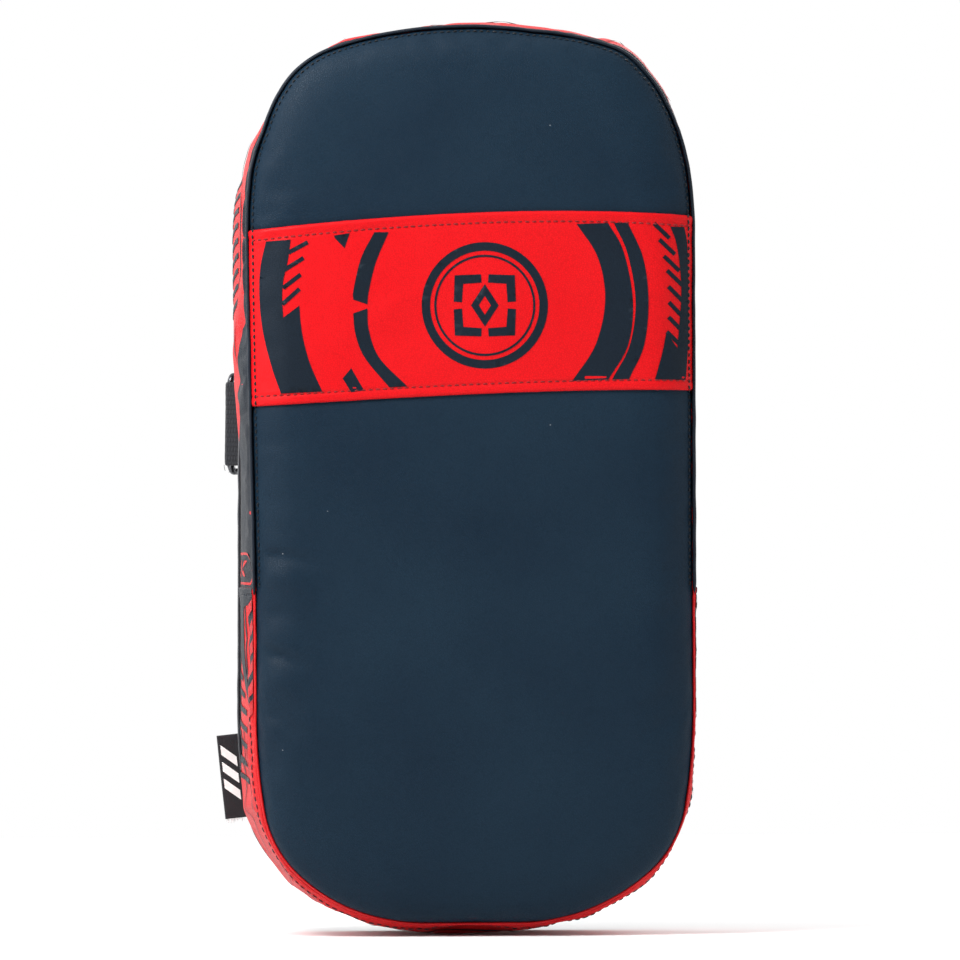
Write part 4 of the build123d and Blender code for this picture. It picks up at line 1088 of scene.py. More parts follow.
for side in (True, False):
    for k in range(9):
        w = 280.0 + 6.8 * k
        s0 = s_at(w, side)
        sg = 1 if side else -1
        a, b = -22.0, 31.0
        parts.append(wall_shape([[(s0, a), (s0 + sg * 2.6, a), (s0 + sg * 12.6, b), (s0 + sg * 10.0, b)]], 0.21))
v, f = gather(parts)
piece("print_side_hatch", v, f, INK_SIDE, "pad")
parts = []
for side in (True, False):
    c = s_at(158.4, side)
    box_ = lambda hs, hy, r: [(c + x, -10.5 + y) for x, y in [(-hs + r, -hy), (hs - r, -hy), (hs, -hy + r), (hs, hy - r), (hs - r, hy), (-hs + r, hy), (-hs, hy - r), (-hs, -hy + r)]]
    parts.append(wall_shape([box_(7.2, 29.5, 2.4), box_(6.1, 28.4, 1.9)], 0.32))
    for k in range(5):
        y0 = -31.0 + 9.0 * k
        parts.append(wall_shape([[(c - 3.6, y0), (c, y0 + 5.0), (c + 3.6, y0), (c + 3.6, y0 + 3.0), (c, y0 + 8.0), (c - 3.6, y0 + 3.0)]], 0.32))
v, f = gather(parts)
piece("print_side_box", v, f, RED_PRINT, "pad")

# Lower wall: front strip with slanted leaf cuts, a bare stripe, pinstripes round the end, dark flanks and a dark hem.
LOW_ENDS = ([0, 0.3, 0.8, 1.6, 2.6, 3.4, 4.2, 5.6, 9], [-0.1, 0.65, 0.95, 0.95, 0.85, 0.45, 0.7, 0.5, 0.25])
for side, tag in ((True, "left"), (False, "right")):
    end = low_a + 0.2 if side else low_b - 0.2
    near = s_at(96.0, side) if side else s_at(96.0, side) + LENGTH
    s = np.concatenate([np.linspace(end, end + (7.0 if side else -7.0), 24)[:-1], np.linspace(end + (7.0 if side else -7.0), near, 90)])
    over = (near_ends(s, low_a, low_b, LOW_ENDS) + 0.24)[:, None]
    wv = on_outline(s)[0][:, 1]
    grow = np.clip((wv - 96) / 10, 0.02, 1)
    wall_strip(f"print_low_front_{tag}", s, np.full(len(s), -43.3), -43.3 + 6.0 * grow, INK_SIDE, over, 5)
    front_y = np.interp(wv, [92, 104, 120, 138.5, 141.5, 142.5, 152], [-29.5, -28.8, -28.4, -28.4, -30.5, -37.6, -37.6])
    back_y = np.interp(wv, [92, 104, 120, 141, 152], [-29.0, -14.0, 4.0, 12.0, 35.0])
    wall_strip(f"print_low_flank_{tag}", s, front_y, back_y, INK_SIDE, over, 16)
parts, darks = [], []
for side in (True, False):
    sg = -1 if side else 1
    for k in range(6):
        s0 = s_at(145.4 - 9.0 * k, side) + (0 if side else LENGTH)
        lift_ = float(near_ends(np.array([s0]), low_a, low_b, LOW_ENDS)[0]) + 0.32 if k == 0 else 0.34 + LOWER_LIFT
        tall = 5.2 if k < 4 else 6.4
        parts.append(wall_shape([[(s0, -43.25), (s0 - sg * tall, -43.25), (s0 - sg * (tall + 3.0), -38.5), (s0 - sg * 4.0, -38.5)]], lift_, 2.0))
    for k in range(8):
        s0 = s_at(62.0 + 7.6 * k, side)
        y_in = max(float(np.interp(62.0 + 7.6 * k, [92, 104, 120, 147.5], [-16.0, -8.0, 9.0, 13.0])), -16.0)
        darks.append(wall_shape([[(s0, y_in), (s0 + sg * 2.6, y_in), (s0 + sg * 8.8, 30.0), (s0 + sg * 6.2, 30.0)]], 0.22 + LOWER_LIFT))
v, f = gather(parts)
piece("print_low_leaves", v, f, RED_PRINT, "pad")
v, f = gather(darks)
piece("print_low_hatch", v, f, INK_SIDE, "pad")
s = np.linspace(low_a + 3.5, low_b - 3.5, 420)
wall_strip("print_low_pinstripe", s, np.full(len(s), -33.4), np.full(len(s), -32.0), INK_SIDE, 0.24 + LOWER_LIFT, 2)
s = np.linspace(s_at(88.0, True), s_at(88.0, False) + LENGTH, 260)
wall_strip("print_low_pinstripe_rear", s, np.full(len(s), -7.4), np.full(len(s), -6.0), INK_SIDE, 0.24 + LOWER_LIFT, 2)
s = np.linspace(low_a + 1, low_b - 1, 420)
wall_strip("print_low_hem", s, np.full(len(s), 30.6), np.full(len(s), 35.9), INK_SIDE, 0.22 + LOWER_LIFT, 4)

# Seam rows on the side wall.
parts = []
s = np.linspace(low_a + 3.4, low_b - 3.4, 1000)
p, n = wall_point(s, np.full(len(s), -39.6), LOWER_LIFT - 0.08)
parts.append(stitches(p, n, pitch=3.6, long=2.6, radius=0.32, proud=0.10))
for s_line in (low_a + 3.4, low_b - 3.4):
    y = np.linspace(-39.6, 34.0, 60)
    p, n = wall_point(np.full(60, s_line), y, 0.48)
    parts.append(stitches(p, n, pitch=3.4, long=2.5, radius=0.38, proud=0.30))
v, f = gather(parts)
piece("stitches_side_joint", v, f, THREAD_DARK, "pad")

# ================================================================ back panel and binding
bl, bln = on_outline(S0)
bflat, bfaces, brows = field(bl + bln * 0.4, bln, np.array([0, 2.0, 5.0, 9.0, 14.0, 20.0, 27.0]), CORNER)
bflat = relax(bflat, bfaces, brows < 0, 6)
b3 = np.stack([bflat[:, 0], np.full(len(bflat), 37.72), bflat[:, 1]], -1)
b3[:, 1] += 0.22 * fbm(b3, 34.0, 3, 9.0)
bfaces = face_out(b3, bfaces, (0, 1, 0))
o = piece("cover_back", b3, bfaces, BACK_LEATHER, "pad", solid=1.4, sub=0)
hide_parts("back_panel")

tape = [(-5.0, 38.0), (-4.75, 38.9), (-4.2, 39.35), (-2.6, 39.55), (-0.4, 39.62), (1.4, 39.4), (2.5, 38.8), (3.1, 37.8), (3.2, 36.4),
        (3.0, 35.1), (2.6, 34.4), (2.1, 34.5), (2.0, 36.0), (1.2, 37.4), (-1.5, 37.8)]
o = tube_ring("edge_tape_rear", tape, TAPE, "pad", wobble=0.30, seed=9.0)
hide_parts("rear_binding")
p, n = on_outline(ring_s)
p3 = np.stack([p[:, 0] - n[:, 0] * 3.4, np.full(len(p), 39.50), p[:, 1] - n[:, 1] * 3.4], -1)
sv, sf = stitches(p3, np.tile([0.0, 1.0, 0.0], (len(p3), 1)), pitch=3.4, long=2.5, radius=0.38, proud=0.26)
piece("stitches_rear_tape", sv, sf, THREAD_GREY, "pad")

# ================================================================ forearm cushion
CX, CW_ = (CUSH_LO[0] + CUSH_HI[0]) / 2, (CUSH_LO[2] + CUSH_HI[2]) / 2
C_WIDE, C_TALL = CUSH_HI[0] - CUSH_LO[0], CUSH_HI[2] - CUSH_LO[2]
cl, cln, c_len = loop_of_rect(CX, CW_, C_WIDE, C_TALL, 24.0, 264)
CDS = np.array([0, 0.5, 1.2, 2.3, 3.4, 4.2, 5.0, 6.4, 8.8, 12.0, 16.0])
CHT = [0.3, 1.3, 1.7, 1.15, 1.6, 1.9, 3.5, 5.9, 8.2, 9.9, 10.8]
cflat, cfaces, crows = field(cl, cln, CDS, round(33.0 / c_len * 264))
cflat = relax(cflat, cfaces, crows < 0, 8)
cd = np.where(crows >= 0, CDS[np.maximum(crows, 0)], 16.0)
cfree = crows < 0
cd[cfree] = np.maximum(16.0, np.sqrt(((cflat[cfree, None] - cl[None]) ** 2).sum(-1)).min(1))
ch = np.interp(cd, list(CDS) + [30.0, 54.0], CHT + [11.3, 11.6])
CHANNELS = [CUSH_LO[2] + C_TALL * k / 4 for k in (1, 2, 3)]
dch = np.min([np.abs(cflat[:, 1] - c) for c in CHANNELS], axis=0)
in_hem = cd < 4.5
dip = np.where(in_hem, 0.0, 0.52 * np.exp(-(dch / 4.6) ** 1.5))
ch = ch * (1 - dip)
c3 = np.stack([cflat[:, 0], BACK + ch, cflat[:, 1]], -1)
cfaces = face_out(c3, cfaces, (0, 1, 0))
nb = len(c3)
c_all = np.vstack([c3, np.stack([cl[:, 0], np.full(264, BACK + 0.05), cl[:, 1]], -1), [[CX, BACK + 0.05, CW_]]])
c_shell = list(cfaces)
skirt = [(i, (i + 1) % 264, nb + (i + 1) % 264, nb + i) for i in range(264)]
bottom = [(nb + i, nb + (i + 1) % 264, len(c_all) - 1) for i in range(264)]
skirt = face_out(c_all, skirt, (c_all[skirt[len(skirt) // 2][0]] - [CX, BACK, CW_]) * [1, 0, 1])
bottom = face_out(c_all, bottom, (0, -1, 0))
c_shell += skirt + bottom
c_pin = np.zeros(len(c_all), bool)
c_pin[nb:] = True
c_pin[:nb] = in_hem | (dch < 1.4)
c_sim = simulate(c_all, c_shell, c_pin, pressure=4.0, frames=16, cap=1.7, shrink=-0.015, tension=14.0, bending=1.0)
c_all = c_sim
cn = normals_of(c_all, c_shell)
creases = 0.30 * fbm(c_all, 22.0, 3, 2.2) + 0.22 * fbm(c_all * [1, 1, 0.35], 5.0, 1, 6.0) * np.exp(-np.append(np.append(dch, np.full(264, 50)), 50) / 6.0)
mask = np.zeros(len(c_all)); mask[:nb] = np.clip((cd - 4.5) / 3.0, 0, 1)
c_all = c_all + cn * (creases * mask)[:, None]
c_all[:, 1] = np.minimum(c_all[:, 1], BACK + 12.8)
cushion = piece("forearm_cushion", c_all, c_shell, CUSHION_LEATHER, "pad", sub=1)
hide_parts("forearm_cover", "forearm_foam")
CUSHION = Surface(c_all, c_shell)
parts = []
q = cl - cln * 2.3
q = np.vstack([q, q[:1]])
pp, pn = CUSHION.along([(a, 90.0, b) for a, b in q], (0, -1, 0))
parts.append(stitches(pp, pn, pitch=3.4, long=2.5, radius=0.38, proud=0.30))
for c in CHANNELS:
    x = np.linspace(CX - C_WIDE / 2 + 5.2, CX + C_WIDE / 2 - 5.2, 160)
    pp, pn = CUSHION.along([(a, 90.0, c) for a in x], (0, -1, 0))
    parts.append(stitches(pp, pn, pitch=3.6, long=2.6, radius=0.40, proud=0.30))
v, f = gather(parts)
piece("stitches_cushion", v, f, THREAD_GREY, "pad")

# ================================================================ leather patches over the sewn ends
def patch(name, node, web_x, web_half, high, n=140):
    lo_, hi_ = local(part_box(node)[0]), local(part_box(node)[1])
    cx, cw = (lo_[0] + hi_[0]) / 2, (lo_[2] + hi_[2]) / 2
    wide, tall = hi_[0] - lo_[0], hi_[2] - lo_[2]
    lp, lnr, ll = loop_of_rect(cx, cw, wide, tall, 4.0, n)
    ds = np.array([0, 0.4, 1.0, 1.9, 2.6, 3.4])
    pf, ff, rr = field(lp, lnr, ds, max(4, round((wide / 2 - 1.0) / ll * n)))
    pf = relax(pf, ff, rr < 0, 6)
    d = np.where(rr >= 0, ds[np.maximum(rr, 0)], 3.4)
    base = np.interp(d, ds, [0.1, 0.95, 1.35, 1.0, 1.4, 1.55])
    ax = np.clip((pf[:, 0] - web_x[0]) / 1.6 + 0.5, 0, 1) * np.clip((web_x[1] - pf[:, 0]) / 1.6 + 0.5, 0, 1)
    aw = np.clip((web_half - np.abs(pf[:, 1] - cw)) / 1.8 + 0.5, 0, 1)
    up = (3 * ax ** 2 - 2 * ax ** 3) * (3 * aw ** 2 - 2 * aw ** 3)
    h = np.where(rr == 0, base, np.maximum(base, base + (high - 1.5) * up))
    v3 = np.stack([pf[:, 0], BACK + h, pf[:, 1]], -1)
    v3[:, 1] += 0.12 * fbm(v3, 9.0, 2, cw * 0.1) * (rr != 0)
    ff = face_out(v3, ff, (0, 1, 0))
    k = len(v3)
    allv = np.vstack([v3, np.stack([lp[:, 0], np.full(n, BACK + 0.02), lp[:, 1]], -1), [[cx, BACK + 0.02, cw]]])
    sk = [(i, (i + 1) % n, k + (i + 1) % n, k + i) for i in range(n)]
    sk = face_out(allv, sk, (allv[sk[len(sk) // 2][0]] - [cx, BACK, cw]) * [1, 0, 1])
    bt = face_out(allv, [(k + i, k + (i + 1) % n, len(allv) - 1) for i in range(n)], (0, -1, 0))
    faces = list(ff) + sk + bt
    o = piece("leather_" + name, allv, faces, PATCH_LEATHER, "pad", sub=1)
    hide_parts(node)
    surf = Surface(allv, faces)
    line = lp - lnr * 1.9
    line = np.vstack([line, line[:1]])
    a, b = surf.along([(x, 90.0, w) for x, w in line], (0, -1, 0))
    return stitches(a, b, pitch=2.9, long=2.1, radius=0.34, proud=0.26), surf


patch_threads = []
for nm, mid in STRAP_MID.items():
    th, _ = patch(f"{nm}_strap_patch", f"{nm}_strap_patch", (50.0, 89.0), 19.0, 3.7)
    patch_threads.append(th)
    th, _ = patch(f"{nm}_tab_patch", f"{nm}_tab_patch", (-100.0, -62.5), 19.0, 5.5)
    patch_threads.append(th)
for side in ("left", "right"):
    sgn = -1 if side == "left" else 1
    xs = sorted((sgn * 70.0, sgn * 90.5))
    th, _ = patch(f"handle_patch_{side}", f"handle_patch_{side}", (xs[0], xs[1]), 12.5, 4.6)
    patch_threads.append(th)
v, f = gather(patch_threads)
piece("stitches_patches", v, f, THREAD_GREY, "pad")

# ================================================================ webbing
def smooth_path(pts, step=0.5, rounds=2):
    """A path with even spacing and eased corners."""
    p = np.asarray(pts, float)
    for _ in range(rounds):
        q = [p[0]]
        for a, b in zip(p[:-1], p[1:]):
            q += [a * 0.75 + b * 0.25, a * 0.25 + b * 0.75]
        q.append(p[-1])
        p = np.array(q)
    s = np.concatenate([[0], np.cumsum(np.linalg.norm(np.diff(p, axis=0), axis=1))])
    at = np.linspace(0, s[-1], max(2, int(s[-1] / step) + 1))
    return np.stack([np.interp(at, s, p[:, k]) for k in (0, 1)], -1)


def arc_pts(c, r, a, b, step=3.0):
    n = max(3, int(abs(b - a) / step))
    return [(c[0] + r * math.cos(math.radians(t)), c[1] + r * math.sin(math.radians(t))) for t in np.linspace(a, b, n)]


def ribbon(name, path, low, high, thick, mat, body, rib=1.6, amp=0.12, round_end=None, tufts=0.0, cols=16, waver=0.0):
    """Webbing that stands on edge along a path in plan, with rounded selvedges and cross ribs. Its map runs along it in metres."""
    p = np.asarray(path, float)
    t = np.gradient(p, axis=0)
    t /= np.linalg.norm(t, axis=1, keepdims=True)
    nrm = np.stack([-t[:, 1], t[:, 0]], -1)
    s = np.concatenate([[0], np.cumsum(np.linalg.norm(np.diff(p, axis=0), axis=1))])
    mid, half = (low + high) / 2, (high - low) / 2
    h = thick / 2
    f = np.concatenate([[-1.0, -0.985, -0.94], np.linspace(-0.86, 0.86, cols), [0.94, 0.985, 1.0]])
    rise = np.interp(1 - np.abs(f), [0, 0.015, 0.06, 0.14, 1.0], [0.25, 0.62, 0.92, 1.0, 1.0])
    rise = rise * (1 - 0.05 * np.cos(f * half * 2 * math.pi / 4.2))
    k = len(f)
    widths = np.full(len(p), half)
    if round_end:
        left = s[-1] - s
        r = round_end
        near = left < r
        widths[near] = half - r + np.sqrt(np.maximum(r * r - (r - left[near]) ** 2, 0.04))
    ridge = 1.0 + amp / h * (np.abs(np.sin(math.pi * s / rib)) ** 0.7 - 0.6) if rib else np.ones(len(p))
    wav = waver * np.sin(s / 17.0 + low) if waver else np.zeros(len(p))
    rows_ = []
    for sign, order in ((1, slice(None)), (-1, slice(None, None, -1))):
        off = sign * h * rise[None, :] * ridge[:, None]
        if tufts:
            off = off + sign * tufts * np.array([[noise.noise(Vector((a * 0.9, b * 0.9 * half, low + sign))) for b in f] for a in s])
        x = p[:, None, 0] + nrm[:, None, 0] * off
        y = p[:, None, 1] + nrm[:, None, 1] * off
        w = mid + wav[:, None] + widths[:, None] * f[None, :] + 0 * x
        rows_.append(np.stack([x, y, w], -1)[:, order])
    verts = np.concatenate(rows_, axis=1)
    m = verts.shape[1]
    uv = np.stack([np.repeat(s, m), np.tile(np.concatenate([f, f[::-1]]) * half, len(p))], -1) / 1000.0
    v = verts.reshape(-1, 3)
    faces = [(i * m + j, i * m + (j + 1) % m, (i + 1) * m + (j + 1) % m, (i + 1) * m + j) for i in range(len(p) - 1) for j in range(m)]
    a_end = [(j, j + 1, m - 2 - j, m - 1 - j) for j in range(k - 1)]
    b0 = (len(p) - 1) * m
    b_end = [(b0 + m - 1 - j, b0 + m - 2 - j, b0 + j + 1, b0 + j) for j in range(k - 1)]
    faces = faces + a_end + b_end
    return piece(name, v, faces, mat, body, uv=uv)


def web_threads(path, low, high, thick, at, body_side=1, pitch=2.6, inset=2.2, cross=True):
    """A sewn box with a cross on webbing, between two distances along the path."""
    p = np.asarray(path, float)
    s = np.concatenate([[0], np.cumsum(np.linalg.norm(np.diff(p, axis=0), axis=1))])
    t = np.gradient(p, axis=0)
    t /= np.linalg.norm(t, axis=1, keepdims=True)
    nrm = np.stack([-t[:, 1], t[:, 0]], -1) * body_side
    parts = []

    def line(s0, w0, s1, w1):
        q = np.linspace(0, 1, 40)
        sv_, wv_ = s0 + (s1 - s0) * q, w0 + (w1 - w0) * q
        x, y = np.interp(sv_, s, p[:, 0]), np.interp(sv_, s, p[:, 1])
        nx, ny = np.interp(sv_, s, nrm[:, 0]), np.interp(sv_, s, nrm[:, 1])
        off = thick / 2 + 0.10
        pts = np.stack([x + nx * off, y + ny * off, wv_], -1)
        parts.append(stitches(pts, np.stack([nx, ny, 0 * nx], -1), pitch=pitch, long=pitch * 0.78, radius=0.30, proud=0.20))

    a, b, lo_, hi_ = at[0], at[1], low + inset, high - inset
    line(a, lo_, b, lo_); line(b, lo_, b, hi_); line(b, hi_, a, hi_); line(a, hi_, a, lo_)
    if cross:
        line(a, lo_, b, hi_); line(a, hi_, b, lo_)
    return gather(parts)


AC, AR, ST = (-22.0, 20.0), 85.5, 2.2
R1_, RT = AR + ST, AR + ST + 3.7
ENDS = {"upper": 148.0, "lower": 136.0}
web_stitches = []
for nm, mid in STRAP_MID.items():
    low, high = mid - 19.0, mid + 19.0
    END = ENDS[nm]
    BAR_OUT = (AC[0] + (R1_ + 1.85) * math.cos(math.radians(END)), AC[1] + (R1_ + 1.85) * math.sin(math.radians(END)))
    BAR_IN = (BAR_OUT[0] + 12.0 * math.cos(math.radians(END + 90)), BAR_OUT[1] + 12.0 * math.sin(math.radians(END + 90)))
    HINGE = END - math.degrees(1.7 / (RT + ST / 2))
    alpha = math.degrees(math.atan2(BAR_IN[1] - 40.0, BAR_IN[0] + 88.0))
    path = smooth_path([(90, 39.15), (80, 39.15), (72, 39.15), (67.0, 39.3), (64.0, 41.0), (62.6, 44.6)]
                       + arc_pts(AC, AR + ST / 2, 19.5, END, 3.0)
                       + arc_pts(BAR_OUT, 1.85 + ST / 2, END + 176, END - 2, 14.0), 0.4)
    o = ribbon(f"webbing_{nm}_strap", path, low, high, ST, WEB, "pad")
    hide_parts(f"{nm}_strap")
    tpath = smooth_path(arc_pts(BAR_OUT, 1.85 + ST / 2, END + 6, END, 3.0) + arc_pts(AC, RT + ST / 2, END - 0.3, HINGE - 69.0, 2.5), 0.4)
    tongue = ribbon(f"webbing_{nm}_tongue", tpath, low, high, ST, WEB, None, round_end=7.0)
    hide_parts(f"{nm}_tongue")
    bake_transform(tongue)
    lp = smooth_path(arc_pts(AC, R1_ + 0.95, 52, END - 5, 2.5), 0.8, 1)
    o = ribbon(f"pile_{nm}_loop", lp, low + 0.6, high - 0.6, 1.8, LOOP_PILE, "pad", rib=0, tufts=0.34, cols=30)
    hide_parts(f"{nm}_loop_patch")
    hp = smooth_path(arc_pts(AC, RT - 0.75, HINGE - 67, HINGE - 16, 2.5), 0.8, 1)
    o = ribbon(f"hook_{nm}_tape", hp, low + 0.8, high - 0.8, 1.5, HOOK, f"{nm}_tongue", rib=1.3, amp=0.16, tufts=0.12, cols=28)
    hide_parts(f"{nm}_hook_patch")
    tb = [(-62, 39.02), (-72, 39.02), (-84, 39.05), (-88.5, 39.7)]
    tb += arc_pts(BAR_IN, 2.85, alpha + 90, alpha - 90, 14.0)
    tb += [(-90.0, 42.2), (-86, 41.2), (-72, 41.02), (-62, 41.02)]
    tpath2 = smooth_path(tb, 0.4)
    o = ribbon(f"webbing_{nm}_ring_tab", tpath2, low, high, 2.0, WEB, "pad", amp=0.16)
    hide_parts(f"{nm}_ring_tab")
    # the strap's box of thread beside the ring, and one on the tongue's tip
    length = np.linalg.norm(np.diff(tpath, axis=0), axis=1).sum()
    web_stitches.append((f"{nm}_tongue", web_threads(tpath, low, high, ST, (length - 24.0, length - 8.0), -1)))
    web_stitches.append((f"{nm}_tongue", web_threads(tpath, low, high, ST, (14.0, 22.0), -1, cross=False)))
    sp = np.linalg.norm(np.diff(path, axis=0), axis=1).sum()
    web_stitches.append(("pad", web_threads(path, low, high, ST, (sp * 0.165, sp * 0.165 + 10.0), -1, cross=True)))
by_body = {}
for b, part in web_stitches:
    by_body.setdefault(b, []).append(part)
for b, parts in by_body.items():
    v, f = gather(parts)
    piece(f"stitches_web_{b}", v, f, THREAD_GREY, b)

# ================================================================ grip
GH = 74.0
gpath = smooth_path([(-90.6, 39.5), (-84, 39.5), (-78.0, 39.5), (-75.0, 40.6), (-GH, 44.0), (-GH, 52), (-GH, 62), (-GH, 74), (-GH, 83)]
                    + arc_pts((-60, 83), 14.0, 180, 90, 12.0)[1:] + [(-52, 97), (-30, 97), (0, 97), (30, 97), (52, 97)]
                    + arc_pts((60, 83), 14.0, 90, 0, 12.0) + [(GH, 74), (GH, 62), (GH, 52), (GH, 44.0), (75.0, 40.6), (78.0, 39.5), (84, 39.5), (90.6, 39.5)], 0.45)
web = ribbon("webbing_handle", gpath, GRIP_W - 12.5, GRIP_W + 12.5, 3.0, WEB, None, amp=0.18, cols=12)
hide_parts("handle_webbing", "handle_foot_left", "handle_foot_right")
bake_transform(web)

gx = np.concatenate([[-59.0, -59.0, -58.6, -57.6, -56.0], np.linspace(-54, 54, 109), [56.0, 57.6, 58.6, 59.0, 59.0]])
gr = np.concatenate([[11.0, 14.2, 15.9, 16.7, 16.95], np.full(109, 17.0), [16.95, 16.7, 15.9, 14.2, 11.0]])
GA = 96
ang = np.linspace(0, 2 * math.pi, GA, endpoint=False)
SEAM_A = math.radians(-128.0)
gv = []
for x, r in zip(gx, gr):
    for a in ang:
        da = (a - SEAM_A + math.pi) % (2 * math.pi) - math.pi
        lap = 0.55 * (1 / (1 + math.exp(-da * 60)) - 1 / (1 + math.exp(-(da - 0.42) * 14)))
        wr = 0.24 * noise.noise(Vector((x / 13.0, math.cos(a) * 1.1, math.sin(a) * 1.1))) + 0.16 * noise.noise(Vector((x / 3.4, math.cos(a) * 2.4, math.sin(a) * 2.4)))
        squeeze = -0.35 * math.exp(-((abs(x) - 51.0) / 1.3) ** 2)
        body_r = r - 0.25 + (lap + wr + squeeze) * (1.0 if abs(x) < 57 else 0.3)
        gv.append((x, GRIP_Y + body_r * math.cos(a), GRIP_W + body_r * math.sin(a)))
gv = np.array(gv)
gfaces = [(i * GA + j, i * GA + (j + 1) % GA, (i + 1) * GA + (j + 1) % GA, (i + 1) * GA + j) for i in range(len(gx) - 1) for j in range(GA)]
mid_face = gfaces[len(gfaces) // 2]
gfaces = face_out(gv, gfaces, gv[mid_face[0]] - [gv[mid_face[0]][0], GRIP_Y, GRIP_W])
grip = piece("grip_sleeve", gv, gfaces, GRIP_LEATHER, "handle", sub=1)
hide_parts("handle_wrap")
parts = []
for off in (-0.09, 0.17):
    a = SEAM_A + off
    x = np.linspace(-55, 55, 120)
    pts = np.stack([x, np.full(120, GRIP_Y + (17.0 + (0.40 if off > 0 else 0.0)) * math.cos(a)), np.full(120, GRIP_W + (17.0 + (0.40 if off > 0 else 0.0)) * math.sin(a))], -1)
    parts.append(stitches(pts, np.tile([0, math.cos(a), math.sin(a)], (120, 1)), pitch=3.2, long=2.4, radius=0.38, proud=0.22))
for xc in (-51.0, 51.0):
    a = np.linspace(0, 2 * math.pi, 100)
    pts = np.stack([np.full(100, xc), GRIP_Y + 16.75 * np.cos(a), GRIP_W + 16.75 * np.sin(a)], -1)
    parts.append(stitches(pts, np.stack([0 * a, np.cos(a), np.sin(a)], -1), pitch=3.0, long=2.2, radius=0.36, proud=0.28))
v, f = gather(parts)
piece("stitches_grip", v, f, THREAD_GREY, "handle")

# ================================================================ side label
lab_lo, lab_hi = local(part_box("side_label")[0]), local(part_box("side_label")[1])
LEAN = math.radians(6.2)
LROOT = np.array([-101.3, SEAM_REAR + 1.0, (lab_lo[2] + lab_hi[2]) / 2])
LA, LB = np.array([-math.cos(LEAN), 0, -math.sin(LEAN)]), np.array([-math.sin(LEAN), 0, math.cos(LEAN)])
a_s = np.concatenate([np.linspace(-6.0, 8.0, 38), [8.25, 8.45, 8.6, 8.68, 8.7]])
hth = np.concatenate([np.full(38, 0.50), [0.46, 0.38, 0.26, 0.12, 0.0]])
b_s = np.concatenate([[-19.0, -18.8], np.linspace(-18.4, 18.4, 92), [18.8, 19.0]])


def label_pt(a, b, off):
    a, b, off = np.broadcast_arrays(np.asarray(a, float), np.asarray(b, float), np.asarray(off, float))
    wave = 0.35 * np.sin(b / 6.5 + 0.6) * np.clip(a / 10.0, 0, 1) + 0.22 * np.clip(a / 10, 0, 1) ** 2
    return LROOT + LA * a[..., None] + LB * b[..., None] + np.array([0, 1.0, 0]) * (off + wave)[..., None]


ag, bg_ = np.meshgrid(a_s, b_s, indexing="ij")
weave_r = 0.03 * np.sign(np.sin(ag * 5.2)) * np.sign(np.sin(bg_ * 5.2))
edge = np.interp(19.0 - np.abs(bg_), [0, 0.2, 0.6], [0.45, 0.85, 1.0])
front_side = label_pt(ag, bg_, -(hth[:, None] * edge + weave_r * (hth[:, None] > 0.3)))
back_side = label_pt(ag, bg_, hth[:, None] * edge + weave_r * (hth[:, None] > 0.3))
na, nb2 = ag.shape
lv = np.vstack([front_side.reshape(-1, 3), back_side.reshape(-1, 3)])
idf = lambda i, j: i * nb2 + j
idb = lambda i, j: na * nb2 + i * nb2 + j
lf = [(idf(i, j), idf(i + 1, j), idf(i + 1, j + 1), idf(i, j + 1)) for i in range(na - 1) for j in range(nb2 - 1)]
lf += [(idb(i, j), idb(i, j + 1), idb(i + 1, j + 1), idb(i + 1, j)) for i in range(na - 1) for j in range(nb2 - 1)]
lf += [(idf(i, 0), idb(i, 0), idb(i + 1, 0), idf(i + 1, 0)) for i in range(na - 1)]
lf += [(idf(i, nb2 - 1), idf(i + 1, nb2 - 1), idb(i + 1, nb2 - 1), idb(i, nb2 - 1)) for i in range(na - 1)]
luv = np.vstack([np.stack([ag.ravel(), bg_.ravel()], -1)] * 2) / 1000.0
label = piece("woven_label", lv, lf, SATIN, None, uv=luv)
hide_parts("side_label")
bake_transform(label)
for side, tag in ((-1, "front"), (1, "rear")):
    loops = [[(0.6, -11.0), (7.4, -5.0), (7.4, -0.6), (0.6, -6.6)], [(0.6, -3.4), (7.4, 2.6), (7.4, 7.0), (0.6, 1.0)], [(0.6, 4.2), (7.4, 10.2), (7.4, 14.6), (0.6, 8.6)]]
    v2, f2 = cut_shape(loops, 1.4, 0.9)
    p2 = label_pt(v2[:, 0], v2[:, 1], np.full(len(v2), side * 0.60))
    f2 = face_out(p2, f2, (0, side, 0))
    piece(f"label_mark_{tag}", p2, f2, SATIN_WHITE, "label", uv=v2 / 1000.0)
parts = []
for k in range(26):
    a = 0.3 + 8.0 * k / 26 + RNG.normal(0, 0.1)
    l = 1.1 + abs(RNG.normal(0, 0.8))
    top = label_pt(a, -18.8, RNG.uniform(-0.3, 0.3))
    d = np.array([RNG.normal(0, 0.25), RNG.normal(0, 0.25), -1.0])
    path = np.array([top, top + d * l * 0.5 + [0, RNG.normal(0, 0.1), 0], top + d * l])
    parts.append(stitches(path, np.tile([0.0, 1.0, 0.0], (3, 1)), pitch=l, long=l, radius=0.09, proud=0.0, jitter=0))
v, f = gather(parts)
piece("label_fringe", v, f, SATIN_WHITE, "label", uv=np.zeros((len(v), 2)))

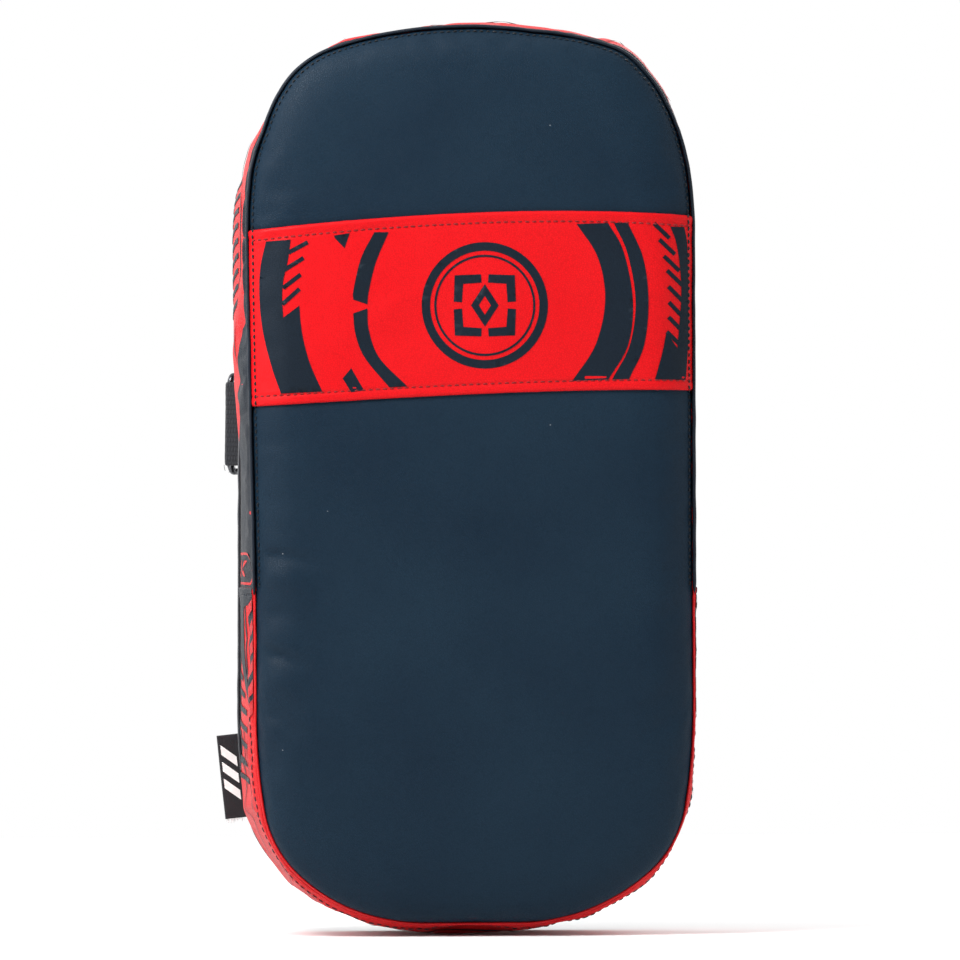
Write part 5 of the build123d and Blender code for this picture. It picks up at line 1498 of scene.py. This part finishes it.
# Loose thread ends at the lower edge of the upper tab.
parts = []
for x, y, l, bend in ((-108.6, 47.6, 2.6, 0.5), (-105.6, 46.6, 3.4, -0.8), (-107.2, 47.0, 1.8, 0.9), (-103.8, 45.6, 2.2, 0.4)):
    base_ = np.array([x, y, STRAP_MID["upper"] - 18.7])
    q = np.linspace(0, 1, 8)[:, None]
    path = base_ + np.array([[0, 0, -l]]) * q + np.array([[bend, -0.3, 0]]) * q ** 2
    parts.append(stitches(path, np.tile([0.0, -1.0, 0.0], (8, 1)), pitch=l / 3, long=l / 2.2, radius=0.13, proud=0.0, jitter=0))
v, f = gather(parts)
piece("loose_threads", v, f, THREAD_GREY, "pad")

# ================================================================ CAD nodes that stay
def dress(node, mat):
    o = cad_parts[node]
    o.data.materials.clear()
    o.data.materials.append(mat)


for nm in STRAP_MID:
    dress(f"{nm}_ring", CHROME)
dress("handle_rivets", STEEL)
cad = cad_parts["backing_board"]
board = piece("inner_board", [local(cad.matrix_world @ v.co) for v in cad.data.vertices], [tuple(f.vertices) for f in cad.data.polygons],
              BOARD, "pad", smooth=False)
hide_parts("backing_board")
dress("handle_core", RUBBER)

# ================================================================ floor, light, camera
floor_mesh = bpy.data.meshes.new("floor")
floor_mesh.from_pydata([(-3.5, -5.0, 0), (3.5, -5.0, 0), (3.5, 1.6, 0), (-3.5, 1.6, 0)], [], [(0, 1, 2, 3)])
floor = bpy.data.objects.new("floor", floor_mesh)
bpy.context.scene.collection.objects.link(floor)
fg = Graph("pale_floor")
fg.done(Base_Color=fg.mix(fg.span(fg.noise(3.0, 2.0), 0.3, 0.7), (0.84, 0.84, 0.84, 1), (0.88, 0.88, 0.88, 1)), Roughness=0.7)
fg.bsdf.inputs["Specular IOR Level"].default_value = 0.2
floor_mesh.materials.append(fg.mat)

world = bpy.data.worlds.new("studio")
bpy.context.scene.world = world
world.use_nodes = True
wt = world.node_tree
bg = wt.nodes["Background"]
tc = wt.nodes.new("ShaderNodeTexCoord")
sep = wt.nodes.new("ShaderNodeSeparateXYZ")
wt.links.new(tc.outputs["Generated"], sep.inputs[0])
ramp = wt.nodes.new("ShaderNodeMapRange")
ramp.interpolation_type = "SMOOTHSTEP"
wt.links.new(sep.outputs[1], ramp.inputs[0])
for i, v_ in enumerate((-0.97, -0.35, 0.12, 1.0)):
    ramp.inputs[i + 1].default_value = v_
col = wt.nodes.new("ShaderNodeCombineXYZ")
for i in range(3):
    wt.links.new(ramp.outputs[0], col.inputs[i])
wt.links.new(col.outputs[0], bg.inputs["Color"])
bg.inputs["Strength"].default_value = 1.0

face_mid = metres([0.0, -54.0, 200.0])


def area(name, at, size, power, target=face_mid, size_y=None):
    d = bpy.data.lights.new(name, "AREA")
    d.energy, d.size = power, size
    if size_y:
        d.shape, d.size_y = "RECTANGLE", size_y
    o = bpy.data.objects.new(name, d)
    bpy.context.scene.collection.objects.link(o)
    o.location = at
    o.visible_camera = False
    o.rotation_euler = (Vector(target) - Vector(at)).to_track_quat("-Z", "Y").to_euler()
    return o


area("key", (-0.42, -0.47, 0.80), 0.36, 8.4, metres([0.0, -54.0, 270.0]))
area("side", (-1.35, -0.9, 0.60), 0.9, 7.0)
area("right", (1.5, -0.75, 0.50), 0.8, 2.2)
area("rear", (0.9, 1.5, 1.3), 1.2, 16.0, metres([0, 40, 200]))
area("rear_left", (-1.2, 1.1, 0.9), 1.0, 10.0, metres([0, 40, 200]))

YAW, ROLL, DIST = math.radians(2.6), math.radians(-0.2), 6.0
cam_data = bpy.data.cameras.new("camera")
cam = bpy.data.objects.new("camera", cam_data)
bpy.context.scene.collection.objects.link(cam)
bpy.context.scene.camera = cam
cam_data.sensor_width = 36.0
cam_data.lens = 36.0 * DIST / 0.4285
cam_data.clip_start, cam_data.clip_end = 0.2, 60.0
aim = Vector(metres([3.9, -54.0, 197.9]))
away = Vector((-math.sin(YAW), -math.cos(YAW), 0.0))
cam.location = aim + away * DIST
cam.rotation_euler = ((-away).to_track_quat("-Z", "Y").to_matrix().to_4x4() @ Matrix.Rotation(ROLL, 4, "Z")).to_euler()
bpy.context.scene.view_settings.view_transform = "Standard"
